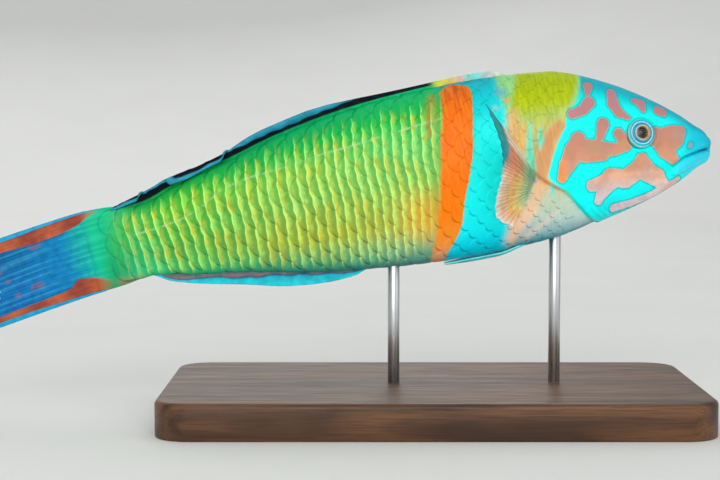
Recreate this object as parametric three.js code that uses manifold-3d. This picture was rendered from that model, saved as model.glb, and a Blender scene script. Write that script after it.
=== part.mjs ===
// Ornate wrasse: a male in full colour, life-size, held over a flat base by two short rods.
// Millimetres. +X points to the snout, +Y to the fish's left side and +Z up.
// The origin is the centre of the base's underside.
//
// The fish is first made straight. A place on it is (s, y, z): s is the distance behind the
// snout along the body's axis, y is to its left and z is up from the axis. Its geometry
// holds that place as (-s, y, z). The pose then carries it onto the swimming fish's curved axis.
import * as THREE from "three";
import { mergeVertices } from "three/addons/utils/BufferGeometryUtils.js";
import Module from "manifold-3d";

const wasm = await Module();
wasm.setup();

// Driving dimensions
const GAP = 0.3; // between pieces that meet
const AXIS_HEIGHT = 62; // of the body's axis over the floor, above the base's centre
const BALANCE_S = 72; // the place on the axis that stands over the base's centre
const FLESH_END = 160; // s where the tail stalk meets the tail fin
const SNOUT_ROUNDING = 3; // length of the blunt tip

// Rows of the body: s, height above the axis, depth below it, half width.
const BODY = [
  [0, 4.2, 4.2, 2.9],
  [3, 5.0, 5.0, 3.9],
  [8, 8.5, 8.5, 5.6],
  [15, 12.4, 12.4, 7.4],
  [25, 16.7, 16.7, 9.2],
  [40, 21.3, 21.3, 10.5],
  [57, 22.4, 22.9, 10.8],
  [72, 22.3, 22.7, 10.3],
  [90, 21.3, 20.9, 9.2],
  [108, 18.7, 18.0, 7.6],
  [123, 15.1, 14.8, 6.0],
  [137, 12.2, 12.2, 4.5],
  [147, 9.9, 9.9, 3.5],
  [155, 10.5, 10.5, 2.6],
  [160, 10.8, 10.8, 2.0],
];

// How sharply the section closes: s, at the back, at the belly. 1 is an ellipse, more is a keel.
const KEEL = [
  [0, 0.95, 0.95],
  [25, 0.98, 0.92],
  [50, 1.2, 0.9],
  [90, 1.3, 1.05],
  [120, 1.2, 1.2],
  [160, 1.25, 1.25],
];

// The pose: s, how steeply the axis falls towards the tail and its turn to the left, in degrees.
const POSE = [
  [0, 3.2, 5.0],
  [25, 1.8, 3.8],
  [40, 6.4, 2.6],
  [60, 10.8, 1.0],
  [90, 12.4, -1.2],
  [120, 12.5, -3.4],
  [138, 15.2, -4.8],
  [152, 11.0, -5.5],
  [168, 18.2, -6.2],
  [206, 19.0, -7.5],
];

// Lines on the side of the body, as (s, z) from top to bottom or from front to back.
const GILL_MARGIN = [
  [35, 30],
  [38.2, 18],
  [42.4, 8.6],
  [46.0, 2.4],
  [47.2, -3.4],
  [43.8, -6.8],
  [39.9, -9.4],
  [36.2, -13.6],
  [32.0, -17.6],
  [27.0, -20.0],
  [24.5, -30],
];
const CHEEK_MARGIN = [
  [34.5, 11.5],
  [30.5, 7],
  [28.8, 0],
  [29.6, -8],
  [32.5, -13],
  [37.5, -15.5],
];
const MOUTH_LINE = [
  [-3, -0.4],
  [2.7, -0.9],
  [8.3, -2.5],
  [11.0, -4.6],
  [12.4, -8.5],
  [12.6, -16],
];
const VENT_S = 90; // where the trunk ends and the tail begins
const GILL_COVER_INNER_Y = 5.6;

const EYE = { s: 19.5, z: 4.0, radius: 3.9, depth: 3.0, proud: 0.7, forward: 10, up: 10 };

// Median fins: s, height out of the flesh. They are folded down, as on a fish under way.
const DORSAL_FIN = [
  [49, 0.6],
  [54, 1.0],
  [62, 0.9],
  [70, 0.8],
  [80, 1.1],
  [88, 1.7],
  [94, 2.3],
  [100, 2.7],
  [108, 2.7],
  [116, 2.5],
  [122, 2.0],
  [130, 1.7],
  [146, 1.6],
  [156, 0.6],
];
const ANAL_FIN = [
  [92, 0.5],
  [98, 1.2],
  [104, 2.3],
  [110, 2.9],
  [117, 3.1],
  [123, 2.9],
  [130, 2.4],
  [138, 1.8],
  [144, 1.2],
  [150, 0.5],
];
const MEDIAN_STEPS = { dorsal: 54, anal: 28 };
const FIN_THICKNESS = 0.7;
const FIN_ROOT_DEPTH = 1.6; // how far a fin is drawn into the flesh before it is trimmed

// The tail fin's edge: s in the middle and at the lobes, and how sharply it sweeps back to them.
const TAIL_FIN = { middle: 189, lobe: 208, sharpness: 3.2, halfHeight: 10.7, flare: 0.6 };
// Its root is as thick as the flesh before it: how round across, how soon and how softly it thins.
const TAIL_ROOT = { roundness: 0.6, thinning: 4, softness: 1.5, film: 0.5 };

// The pectoral fin's root and where its rays end, from the top ray at 0 to the lowest at 1.
const PECTORAL_ROOT = { s: 47.0, z: -4.2, length: 5.6, rake: 26, depth: 1 };
const PECTORAL_RAYS = [
  [0, 11.0, 17.0, 19.8],
  [0.25, 8.9, 19.6, 11.2],
  [0.5, 9.0, 18.4, 5.2],
  [0.75, 10.6, 15.2, 0.2],
  [0.88, 10.6, 12.8, -3.8],
  [1, 6.5, 9.6, -6.3],
];
// The pelvic fin lies along the belly: s of its ends, its middle in degrees up from the belly
// line, half its spread in degrees, and how far it stands off the flesh.
const PELVIC = {
  root: 50,
  tip: 73.5,
  rootAngle: 10,
  tipAngle: 9,
  spread: 8,
  off: 0.8,
  thickness: 0.6,
};

const ROD = { radius: 1.5, stations: [40, 82], intoFlesh: 6, intoBase: 5 };
const ROD_SIDES = 24;
const BASE = { length: 136, width: 72, height: 9, corner: 9, bevel: 1 };

// A smooth curve through a table: one of its columns against the first.
function curve(rows, column) {
  const slope = (i) => {
    const before = rows[Math.max(i - 1, 0)];
    const after = rows[Math.min(i + 1, rows.length - 1)];
    return (after[column] - before[column]) / (after[0] - before[0]);
  };
  return (at) => {
    const next = rows.findIndex((row) => row[0] > at);
    const i = next < 0 ? rows.length - 2 : Math.max(next - 1, 0);
    const [from, to] = [rows[i], rows[i + 1]];
    const span = to[0] - from[0];
    const t = THREE.MathUtils.clamp((at - from[0]) / span, 0, 1);
    const u = 1 - t;
    const level = from[column] * (1 + 2 * t) * u * u + to[column] * (1 + 2 * u) * t * t;
    return level + span * t * u * (slope(i) * u - slope(i + 1) * t);
  };
}

const radians = THREE.MathUtils.degToRad;
const backHeight = curve(BODY, 1);
const bellyDepth = curve(BODY, 2);
const halfWidth = curve(BODY, 3);
const backKeel = curve(KEEL, 1);
const bellyKeel = curve(KEEL, 2);
const fall = curve(POSE, 1);
const turn = curve(POSE, 2);

// The blunt snout closes as a quarter of an ellipse.
function rounding(s) {
  return s < SNOUT_ROUNDING ? Math.sqrt(Math.max(1 - (1 - s / SNOUT_ROUNDING) ** 2, 0)) : 1;
}

// A point on the body: angle 0 is the left side, 90 degrees the back and -90 the belly.
function bodyPoint(s, angle, swell = 0) {
  const [across, upward] = [Math.cos(angle), Math.sin(angle)];
  const keel = (upward > 0 ? backKeel : bellyKeel)(s);
  const reach = (upward > 0 ? backHeight : bellyDepth)(s) * rounding(s) + swell;
  const half = halfWidth(s) * rounding(s) + swell;
  return new THREE.Vector3(-s, half * Math.sign(across) * Math.abs(across) ** keel, reach * upward);
}

// Half the body's width at a height over its axis.
function sideAt(s, z) {
  const reach = (z > 0 ? backHeight : bellyDepth)(s);
  const keel = (z > 0 ? backKeel : bellyKeel)(s);
  return halfWidth(s) * Math.max(1 - (z / reach) ** 2, 0) ** (keel / 2);
}

// A closed surface through rings of points. The ends close by strips between opposite points.
function loft(rings) {
  const count = rings[0].length;
  const index = [];
  for (let r = 0; r + 1 < rings.length; r++) {
    for (let i = 0; i < count; i++) {
      const [a, b] = [r * count + i, r * count + ((i + 1) % count)];
      index.push(a, a + count, b, b, a + count, b + count);
    }
  }
  for (const [first, flip] of [[0, false], [(rings.length - 1) * count, true]]) {
    for (let i = 0; i < count / 2 - 1; i++) {
      const [a, b] = [first + i, first + i + 1];
      const [c, d] = [first + count - 1 - i, first + count - 2 - i];
      if (flip) index.push(a, c, b, b, c, d);
      else index.push(a, b, c, b, d, c);
    }
  }
  const geometry = new THREE.BufferGeometry();
  const places = rings.flat().flatMap((point) => point.toArray());
  geometry.setAttribute("position", new THREE.Float32BufferAttribute(places, 3));
  geometry.setIndex(index);
  return geometry;
}

// A thin closed plate over a grid of points, with its thickness at each place of the grid.
function plate(grid, thickness) {
  const last = [grid.length - 1, grid[0].length - 1];
  const at = (i, j) => grid[THREE.MathUtils.clamp(i, 0, last[0])][THREE.MathUtils.clamp(j, 0, last[1])];
  const face = (side, i) =>
    grid[i].map((point, j) => {
      const along = at(i + 1, j).clone().sub(at(i - 1, j));
      const across = at(i, j + 1).clone().sub(at(i, j - 1));
      const normal = along.cross(across).normalize();
      return point.clone().addScaledVector(normal, (side * thickness(i / last[0], j / last[1])) / 2);
    });
  return loft(grid.map((_, i) => [...face(1, i), ...face(-1, i).reverse()]));
}

const WELD = 1e-4; // places nearer than this are one point
function toSolid(geometry) {
  const bare = new THREE.BufferGeometry();
  bare.setAttribute("position", geometry.getAttribute("position"));
  bare.setIndex(geometry.getIndex());
  const merged = mergeVertices(bare, WELD);
  const solid = new wasm.Manifold(
    new wasm.Mesh({
      numProp: 3,
      vertProperties: Float32Array.from(merged.attributes.position.array),
      triVerts: Uint32Array.from(merged.index.array),
    }),
  );
  return solid;
}

function toGeometry(solid) {
  const mesh = solid.getMesh();
  const geometry = new THREE.BufferGeometry();
  const places = [];
  for (let i = 0; i < mesh.numVert; i++) {
    places.push(...mesh.vertProperties.subarray(i * mesh.numProp, i * mesh.numProp + 3));
  }
  geometry.setAttribute("position", new THREE.Float32BufferAttribute(places, 3));
  geometry.setIndex([...mesh.triVerts]);
  return geometry;
}

// A prism over an outline of (s, z) places, between two values of y.
function prism(outline, low, high) {
  const shape = new THREE.Shape(outline.map(([s, z]) => new THREE.Vector2(-s, z)));
  const geometry = new THREE.ExtrudeGeometry(shape, { depth: high - low, bevelEnabled: false });
  return toSolid(geometry.rotateX(Math.PI / 2).translate(0, high, 0));
}

// A smooth line through (s, z) places, moved to its left by a distance.
const LINE_STEPS = 4; // between one place and the next
function line(places, offset = 0) {
  const spline = new THREE.SplineCurve(places.map(([s, z]) => new THREE.Vector2(s, z)));
  const steps = (places.length - 1) * LINE_STEPS;
  return Array.from({ length: steps + 1 }, (_, i) => {
    const point = spline.getPoint(i / steps);
    const way = spline.getTangent(i / steps);
    return [point.x - way.y * offset, point.y + way.x * offset];
  });
}

// Flesh, whole. Its rings stand close together on the snout, closer on the head than behind it.
const RING_POINTS = 32;
const SNOUT_STATIONS = [0.02, 0.3, 0.9, 1.8, 3];
const HEAD_STATIONS = { from: 5, apart: 2.4, count: 11 };
const TRUNK_STATIONS = { from: 32, apart: 4.92, count: 26 };
const spaced = ({ from, apart, count }) => Array.from({ length: count }, (_, i) => from + apart * i);
const STATIONS = [...SNOUT_STATIONS, ...spaced(HEAD_STATIONS), ...spaced(TRUNK_STATIONS), FLESH_END];

function flesh(swell) {
  const angles = Array.from({ length: RING_POINTS }, (_, i) => ((i + 0.5) / RING_POINTS) * 2 * Math.PI);
  return toSolid(loft(STATIONS.map((s) => angles.map((angle) => bodyPoint(s, angle, swell)))));
}

const WIDE = 40; // reaches past the body on every side
const body = flesh(0);
const bodyAndGap = flesh(GAP);

// Everything in front of the gill margin is the head.
const beforeGills = (offset) => [...line(GILL_MARGIN, offset), [-WIDE, -WIDE], [-WIDE, WIDE]];
const wholeHead = body.intersect(prism(beforeGills(0), -WIDE, WIDE));
const behindHead = body.subtract(prism(beforeGills(GAP), -WIDE, WIDE));

// The gill cover is the plate behind the cheek, on each side.
const BEHIND_GILLS = 60;
const gillArea = (offset) => [
  ...line(CHEEK_MARGIN, offset),
  [BEHIND_GILLS, CHEEK_MARGIN[CHEEK_MARGIN.length - 1][1]],
  [BEHIND_GILLS, CHEEK_MARGIN[0][1]],
];
const gillPrism = (side, offset, inner) =>
  side > 0 ? prism(gillArea(offset), inner, WIDE) : prism(gillArea(offset), -WIDE, -inner);
const gillCover = (side) => wholeHead.intersect(gillPrism(side, 0, GILL_COVER_INNER_Y));

// The lower jaw is all that lies under the mouth line.
const jawArea = (offset) => [...line(MOUTH_LINE, offset), [-WIDE, MOUTH_LINE[MOUTH_LINE.length - 1][1]]];
const lowerJaw = wholeHead.intersect(prism(jawArea(0), -WIDE, WIDE));

function eyeball(side, swell) {
  const ball = new THREE.SphereGeometry(1, 18, 11);
  ball.scale(EYE.radius + swell, EYE.depth + swell, EYE.radius + swell);
  ball.rotateZ(side * radians(-EYE.forward));
  ball.rotateX(side * radians(EYE.up));
  const middle = sideAt(EYE.s, EYE.z) + EYE.proud - EYE.depth;
  return toSolid(ball.translate(-EYE.s, side * middle, EYE.z));
}

const head = [1, -1].reduce(
  (piece, side) =>
    piece
      .subtract(gillPrism(side, -GAP, GILL_COVER_INNER_Y - GAP))
      .subtract(eyeball(side, GAP)),
  wholeHead.subtract(prism(jawArea(GAP), -WIDE, WIDE)),
);

const crossCut = (from, to) =>
  prism([[from, WIDE], [to, WIDE], [to, -WIDE], [from, -WIDE]], -WIDE, WIDE);
const trunk = behindHead.intersect(crossCut(0, VENT_S));
const tail = behindHead.intersect(crossCut(VENT_S + GAP, FLESH_END + 1));

// A fin in the middle plane, drawn from inside the flesh out to its edge and then trimmed.
function medianFin(rows, up, steps) {
  const reach = curve(rows, 1);
  const [from, to] = [rows[0][0], rows[rows.length - 1][0]];
  const fleshEdge = up > 0 ? backHeight : bellyDepth;
  const grid = Array.from({ length: steps + 1 }, (_, i) => {
    const s = from + ((to - from) * i) / steps;
    const inner = fleshEdge(s) - FIN_ROOT_DEPTH;
    const outer = fleshEdge(s) + reach(s);
    return [0, 0.5, 1].map((v) => new THREE.Vector3(-s, 0, up * (inner + (outer - inner) * v)));
  });
  const solid = toSolid(plate(up > 0 ? grid : grid.map((row) => row.reverse()), () => FIN_THICKNESS));
  return solid.subtract(bodyAndGap);
}

// The tail fin: rays from the end of the flesh to a hollow edge between two long lobes.
function tailFin() {
  const [alongSteps, acrossSteps] = [9, 16];
  const grid = Array.from({ length: alongSteps + 1 }, (_, i) => {
    const u = i / alongSteps;
    return Array.from({ length: acrossSteps + 1 }, (_, j) => {
      const v = (2 * j) / acrossSteps - 1;
      const root = FLESH_END + GAP;
      const edge = TAIL_FIN.middle + (TAIL_FIN.lobe - TAIL_FIN.middle) * Math.abs(v) ** TAIL_FIN.sharpness;
      const half = TAIL_FIN.halfHeight + TAIL_FIN.flare * u * v * v;
      return new THREE.Vector3(-(root + (edge - root) * u), 0, half * v);
    });
  });
  const thickness = (u, across) => {
    const v = 2 * across - 1;
    const round = Math.max(1 - v * v, 0) ** TAIL_ROOT.roundness;
    const thinned = Math.max(1 - TAIL_ROOT.thinning * u, 0) ** TAIL_ROOT.softness;
    return Math.max(2 * halfWidth(FLESH_END) * round * thinned, FIN_THICKNESS + TAIL_ROOT.film * (1 - u));
  };
  return toSolid(plate(grid, thickness));
}

// The pectoral fin: a cupped fan of rays that stands out from the side.
function pectoralFin(side) {
  const [rays, steps] = [14, 6];
  const [back, out, up] = [1, 2, 3].map((column) => curve(PECTORAL_RAYS, column));
  const rake = radians(PECTORAL_ROOT.rake);
  const grid = Array.from({ length: rays + 1 }, (_, i) => {
    const v = i / rays;
    const s = PECTORAL_ROOT.s + PECTORAL_ROOT.length * v * Math.sin(rake);
    const z = PECTORAL_ROOT.z - PECTORAL_ROOT.length * v * Math.cos(rake);
    const y = sideAt(s, z) - PECTORAL_ROOT.depth;
    return Array.from({ length: steps + 1 }, (_, j) => {
      const u = j / steps;
      const outward = y + (out(v) + PECTORAL_ROOT.depth) * u;
      return new THREE.Vector3(-(s + back(v) * u), side * outward, z + up(v) * u);
    });
  });
  const solid = toSolid(plate(side > 0 ? grid : grid.reverse(), () => FIN_THICKNESS));
  return solid.subtract(bodyAndGap);
}

// The pelvic fin: a narrow blade folded back along the belly, just clear of it.
const PELVIC_ENDS = 0.3; // how wide its ends are, as a share of its middle
function pelvicFin(side) {
  const steps = 14;
  const grid = Array.from({ length: steps + 1 }, (_, i) => {
    const u = i / steps;
    const s = PELVIC.root + (PELVIC.tip - PELVIC.root) * u;
    const middle = PELVIC.rootAngle + (PELVIC.tipAngle - PELVIC.rootAngle) * u;
    const spread = PELVIC.spread * (PELVIC_ENDS + (1 - PELVIC_ENDS) * Math.sin(Math.PI * u));
    return [-1, 0, 1].map((v) => bodyPoint(s, radians(-90 + side * (middle + spread * v)), PELVIC.off));
  });
  return toSolid(plate(side > 0 ? grid : grid.reverse(), () => PELVIC.thickness));
}

// The curved axis: points along it and the way it runs, each half millimetre of s.
const STEP = 0.5;
const AXIS_REACH = 150; // of s either way from the balance
function forward(s) {
  const [rise, side] = [radians(fall(s)), radians(turn(s))];
  return new THREE.Vector3(Math.cos(rise) * Math.cos(side), Math.cos(rise) * Math.sin(side), Math.sin(rise));
}
function axisFrom(start, way) {
  const points = [start];
  for (let s = BALANCE_S; Math.abs(s - BALANCE_S) < AXIS_REACH; s += way * STEP) {
    const next = points[points.length - 1].clone();
    points.push(next.addScaledVector(forward(s + (way * STEP) / 2), -way * STEP));
  }
  return points;
}
const balance = new THREE.Vector3(0, 0, AXIS_HEIGHT);
const [tailward, headward] = [axisFrom(balance, 1), axisFrom(balance, -1)];

function axisAt(s) {
  const run = Math.abs(s - BALANCE_S) / STEP;
  const side = s > BALANCE_S ? tailward : headward;
  return side[Math.floor(run)].clone().lerp(side[Math.floor(run) + 1], run % 1);
}

function posed(place) {
  const ahead = forward(-place.x);
  const left = new THREE.Vector3(-ahead.y, ahead.x, 0).normalize();
  const up = ahead.clone().cross(left);
  return axisAt(-place.x).addScaledVector(left, place.y).addScaledVector(up, place.z);
}

function pose(solid) {
  const geometry = toGeometry(solid);
  const places = geometry.getAttribute("position");
  for (let i = 0; i < places.count; i++) {
    const point = posed(new THREE.Vector3().fromBufferAttribute(places, i));
    places.setXYZ(i, point.x, point.y, point.z);
  }
  return toSolid(geometry);
}

// Stand
function post(at, from, to, radius) {
  const geometry = new THREE.CylinderGeometry(radius, radius, to - from, ROD_SIDES);
  return geometry.rotateX(Math.PI / 2).translate(at.x, at.y, (from + to) / 2);
}

const rods = ROD.stations.map((s) => {
  const at = axisAt(s);
  const belly = posed(new THREE.Vector3(-s, 0, -bellyDepth(s))).z;
  return { at, from: BASE.height - ROD.intoBase + GAP, to: belly + ROD.intoFlesh };
});

function baseBlock() {
  const [x, y, r] = [BASE.length / 2 - BASE.bevel, BASE.width / 2 - BASE.bevel, BASE.corner];
  const shape = new THREE.Shape();
  shape.absarc(x - r, y - r, r, 0, Math.PI / 2);
  shape.absarc(r - x, y - r, r, Math.PI / 2, Math.PI);
  shape.absarc(r - x, r - y, r, Math.PI, 1.5 * Math.PI);
  shape.absarc(x - r, r - y, r, 1.5 * Math.PI, 2 * Math.PI);
  const bevel = { bevelSize: BASE.bevel, bevelThickness: BASE.bevel, bevelSegments: 2 };
  const options = { depth: BASE.height - 2 * BASE.bevel, curveSegments: 5, ...bevel };
  const block = new THREE.ExtrudeGeometry(shape, options).translate(0, 0, BASE.bevel);
  const socket = ({ at }) => toSolid(post(at, BASE.height - ROD.intoBase, WIDE, ROD.radius + GAP));
  return rods.map(socket).reduce((piece, hole) => piece.subtract(hole), toSolid(block));
}

const trunkOnRods = rods.reduce(
  (piece, rod) => piece.subtract(toSolid(post(rod.at, 0, rod.to + GAP, ROD.radius + GAP))),
  pose(trunk),
);

const paint = (color, roughness, metalness = 0) =>
  new THREE.MeshStandardMaterial({ color, roughness, metalness });
const cyan = paint("#12d6dc", 0.4);
const salmon = paint("#cf8f78", 0.4);
const green = paint("#7fc52a", 0.45);
const orange = paint("#d8641e", 0.45);
const blue = paint("#1f86c4", 0.45);
const navy = paint("#0b1a33", 0.45);
const pupil = paint("#22261f", 0.15);
const walnut = paint("#5b3b26", 0.5);
const steel = paint("#b9bcc0", 0.3, 1);

const fish = new THREE.Group();
function add(group, name, shape, material) {
  const mesh = new THREE.Mesh(shape.isBufferGeometry ? shape : toGeometry(shape), material);
  mesh.name = name;
  group.add(mesh);
}
add(fish, "head", pose(head), cyan);
add(fish, "lower_jaw", pose(lowerJaw), cyan);
add(fish, "trunk", trunkOnRods, green);
add(fish, "tail", pose(tail), green);
add(fish, "dorsal_fin", pose(medianFin(DORSAL_FIN, 1, MEDIAN_STEPS.dorsal)), navy);
add(fish, "anal_fin", pose(medianFin(ANAL_FIN, -1, MEDIAN_STEPS.anal)), blue);
add(fish, "caudal_fin", pose(tailFin()), blue);
for (const [name, side] of [["left", 1], ["right", -1]]) {
  add(fish, `gill_cover_${name}`, pose(gillCover(side)), salmon);
  add(fish, `eye_${name}`, pose(eyeball(side, 0)), pupil);
  add(fish, `pectoral_fin_${name}`, pose(pectoralFin(side)), orange);
  add(fish, `pelvic_fin_${name}`, pose(pelvicFin(side)), cyan);
}

const stand = new THREE.Group();
add(stand, "stand_base", baseBlock(), walnut);
rods.forEach(({ at, from, to }, i) =>
  add(stand, ["stand_rod_front", "stand_rod_rear"][i], post(at, from, to, ROD.radius), steel),
);

const model = new THREE.Group();
model.add(fish, stand);
export default model;
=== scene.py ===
# %% [markdown]
# # A male ornate wrasse on a display stand
# The model is life-size and still, as a museum shows a fish. One soft skin covers the whole
# animal, solid scales lie over the flanks, and the fins and eyes are pieces of their own.
# Everything is first made on a straight fish, in millimetres: s runs back from the snout,
# y to the fish's left and z up from its axis. One function then bends it into its pose.

import bpy
import numpy as np
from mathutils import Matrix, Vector


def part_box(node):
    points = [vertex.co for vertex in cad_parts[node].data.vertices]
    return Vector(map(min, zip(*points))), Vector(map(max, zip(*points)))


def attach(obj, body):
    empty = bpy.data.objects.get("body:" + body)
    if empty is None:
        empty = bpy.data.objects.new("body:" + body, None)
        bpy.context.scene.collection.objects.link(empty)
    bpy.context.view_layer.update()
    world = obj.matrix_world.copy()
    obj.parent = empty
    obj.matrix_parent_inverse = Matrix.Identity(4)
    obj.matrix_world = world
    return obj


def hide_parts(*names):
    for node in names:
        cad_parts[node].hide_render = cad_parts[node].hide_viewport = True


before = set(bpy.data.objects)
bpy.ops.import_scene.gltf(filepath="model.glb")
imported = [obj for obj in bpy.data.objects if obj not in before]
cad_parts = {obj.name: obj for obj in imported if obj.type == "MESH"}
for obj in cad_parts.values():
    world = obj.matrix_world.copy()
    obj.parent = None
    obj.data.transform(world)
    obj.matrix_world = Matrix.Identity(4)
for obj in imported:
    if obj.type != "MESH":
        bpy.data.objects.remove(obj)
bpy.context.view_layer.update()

# %% [markdown]
# The body is a long oval whose height, depth and width change along the fish. A sculptor
# would cut card templates at a dozen stations and fair the surface between them. The same
# is done here: each table has one row for a station, and a smooth curve runs through them.

# %% The body's templates
MM = 0.001
FLESH_END = 160.0
SNOUT_ROUNDING = 3.0

# s, height above the axis, depth below it, half width
BODY = [
    (0, 4.2, 4.2, 2.9), (3, 5.0, 5.0, 3.9), (8, 8.5, 8.5, 5.6), (15, 12.4, 12.4, 7.4),
    (25, 16.7, 16.7, 9.2), (40, 21.3, 21.3, 10.5), (57, 22.4, 22.9, 10.8), (72, 22.3, 22.7, 10.3),
    (90, 21.3, 20.9, 9.2), (108, 18.7, 18.0, 7.6), (123, 15.1, 14.8, 6.0), (137, 12.2, 12.2, 4.5),
    (147, 9.9, 9.9, 3.5), (155, 10.5, 10.5, 2.6), (160, 10.8, 10.8, 2.0),
]
# s, how sharply the section closes at the back and at the belly
KEEL = [
    (0, 0.95, 0.95), (25, 0.98, 0.92), (50, 1.2, 0.9), (90, 1.3, 1.05), (120, 1.2, 1.2), (160, 1.25, 1.25),
]


def curve(rows, column=1):
    """A smooth curve through one column of a table, against its first column."""
    table = np.array(rows, float)
    at, level = table[:, 0], table[:, column]
    before = np.maximum(np.arange(len(at)) - 1, 0)
    after = np.minimum(np.arange(len(at)) + 1, len(at) - 1)
    slope = (level[after] - level[before]) / (at[after] - at[before])

    def value(where):
        where = np.asarray(where, float)
        i = np.clip(np.searchsorted(at, where, side="right") - 1, 0, len(at) - 2)
        span = at[i + 1] - at[i]
        t = np.clip((where - at[i]) / span, 0, 1)
        u = 1 - t
        ends = level[i] * (1 + 2 * t) * u * u + level[i + 1] * (1 + 2 * u) * t * t
        return ends + span * t * u * (slope[i] * u - slope[i + 1] * t)

    return value


back_height, belly_depth, half_width = (curve(BODY, column) for column in (1, 2, 3))
back_keel, belly_keel = curve(KEEL, 1), curve(KEEL, 2)


def rounding(s):
    """The blunt snout closes as a quarter of an ellipse."""
    ahead = np.clip(1 - np.asarray(s, float) / SNOUT_ROUNDING, 0, 1)
    return np.sqrt(1 - ahead**2)


def reach_at(s, upward):
    """Distance from the axis to the edge of the side view, above or below."""
    return np.where(upward > 0, back_height(s), belly_depth(s)) * rounding(s)


def body_yz(s, angle, swell=0.0):
    """The left side of the body at an angle: -90 degrees is the belly and 90 the back."""
    across, upward = np.cos(angle), np.sin(angle)
    keel = np.where(upward > 0, back_keel(s), belly_keel(s))
    half = half_width(s) * rounding(s) + swell
    return half * np.maximum(across, 0) ** keel, (reach_at(s, upward) + swell) * upward


def side_at(s, z):
    """Half the body's width at a height over its axis."""
    keel = np.where(z > 0, back_keel(s), belly_keel(s))
    share = np.clip(np.abs(z) / np.maximum(reach_at(s, z), 1e-6), 0, 1)
    return half_width(s) * rounding(s) * (1 - share**2) ** (keel / 2)


print("deepest section:", max(row[1] + row[2] for row in BODY), "mm")

# %% [markdown]
# A swimming fish is never straight. Its axis falls towards the tail here and bends a little
# to its left. A wire armature would carry that bend; in code it is a table of the axis's
# fall and turn, added up in half-millimetre steps from the place over the stand's centre.

# %% The pose
AXIS_HEIGHT = 62.0
BALANCE_S = 72.0
# s, how steeply the axis falls towards the tail and its turn to the left, in degrees
POSE = [
    (0, 3.2, 5.0), (25, 1.8, 3.8), (40, 6.4, 2.6), (60, 10.8, 1.0), (90, 12.4, -1.2), (120, 12.5, -3.4),
    (138, 15.2, -4.8), (152, 11.0, -5.5), (168, 18.2, -6.2), (206, 19.0, -7.5),
]
fall_of, turn_of = curve(POSE, 1), curve(POSE, 2)
STEP = 0.5
AXIS_S = np.arange(-20, 230, STEP)


def ways(s):
    """Forward, left and up at a place on the axis."""
    fall, turn = np.radians(fall_of(s)), np.radians(turn_of(s))
    level = np.zeros_like(fall)
    ahead = np.stack([np.cos(fall) * np.cos(turn), np.cos(fall) * np.sin(turn), np.sin(fall)], -1)
    left = np.stack([-np.sin(turn), np.cos(turn), level], -1)
    return ahead, left, np.cross(ahead, left)


walk = np.cumsum(ways(AXIS_S[:-1] + STEP / 2)[0] * -STEP, axis=0)
walk = np.vstack([np.zeros(3), walk])
AXIS = walk - walk[np.argmin(np.abs(AXIS_S - BALANCE_S))] + (0, 0, AXIS_HEIGHT)


def posed(s, y, z):
    """Carries places on the straight fish onto the posed one, in metres."""
    s, y, z = np.broadcast_arrays(np.asarray(s, float), np.asarray(y, float), np.asarray(z, float))
    _, left, up = ways(s)
    axis = np.stack([np.interp(s, AXIS_S, AXIS[:, k]) for k in range(3)], -1)
    return (axis + y[..., None] * left + z[..., None] * up) * MM


print("snout (mm):", np.round(posed(0, 0, 0) / MM, 1))
print("tail's root (mm):", np.round(posed(FLESH_END, 0, 0) / MM, 1))

# %% [markdown]
# Skin and scales are laid out by distance over the surface, not by height, or they would
# bunch up at the back and belly. A table of arc lengths, from the middle of the side up to
# the back and down to the belly, turns one into the other.

# %% Arc lengths over the body
ARC_S = np.linspace(0, FLESH_END, 321)
ARC_ANGLES = np.radians(np.linspace(-90, 90, 361))
HALF = len(ARC_ANGLES) // 2


def arc_table():
    y, z = body_yz(ARC_S[:, None], ARC_ANGLES[None, :])
    steps = np.hypot(np.diff(y, axis=1), np.diff(z, axis=1))
    arcs = np.hstack([np.zeros((len(ARC_S), 1)), np.cumsum(steps, axis=1)])
    return arcs - arcs[:, HALF : HALF + 1]


ARCS = arc_table()
ARC_TOP, ARC_BOTTOM = ARCS[:, -1], -ARCS[:, 0]
SHARES = np.linspace(-1, 1, 241)


def angle_table():
    rows = []
    for arcs in ARCS:
        wanted = np.where(SHARES > 0, SHARES * arcs[-1], -SHARES * arcs[0])
        rows.append(np.interp(wanted, arcs, ARC_ANGLES))
    return np.array(rows)


ANGLES = angle_table()


def lookup(table, s, column):
    """Reads a table between its rows, which are stations, and its columns."""
    row = np.clip(s / FLESH_END * (len(ARC_S) - 1), 0, len(ARC_S) - 1.001)
    column = np.clip(column, 0, table.shape[1] - 1.001)
    i, j = row.astype(int), column.astype(int)
    p, q = row - i, column - j
    low = table[i, j] * (1 - q) + table[i, j + 1] * q
    high = table[i + 1, j] * (1 - q) + table[i + 1, j + 1] * q
    return low * (1 - p) + high * p


def arc_limit(s, arc):
    return np.where(arc > 0, np.interp(s, ARC_S, ARC_TOP), np.interp(s, ARC_S, ARC_BOTTOM))


def angle_at(s, arc):
    """The section angle at an arc length up (or, negative, down) from the middle of the side."""
    share = np.clip(arc / arc_limit(s, arc), -1, 1)
    return lookup(ANGLES, s, (share + 1) / 2 * (len(SHARES) - 1))


def arc_at(s, angle):
    turned = (angle - ARC_ANGLES[0]) / (ARC_ANGLES[-1] - ARC_ANGLES[0])
    return lookup(ARCS, s, turned * (len(ARC_ANGLES) - 1))


print("girth at s 57:", round(2 * float(np.interp(57, ARC_S, ARC_TOP + ARC_BOTTOM)), 1), "mm")

# %% [markdown]
# Wrasse scales sit in rows, each row half a scale out of step with the next. The lattice
# gives every place on the side a column, which counts scales back from the head, and a row,
# which counts up from the middle of the side. Scales are small behind the head and at the
# tail. The columns lean forward at the shoulder, so the flank's lines stand upright there.

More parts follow.
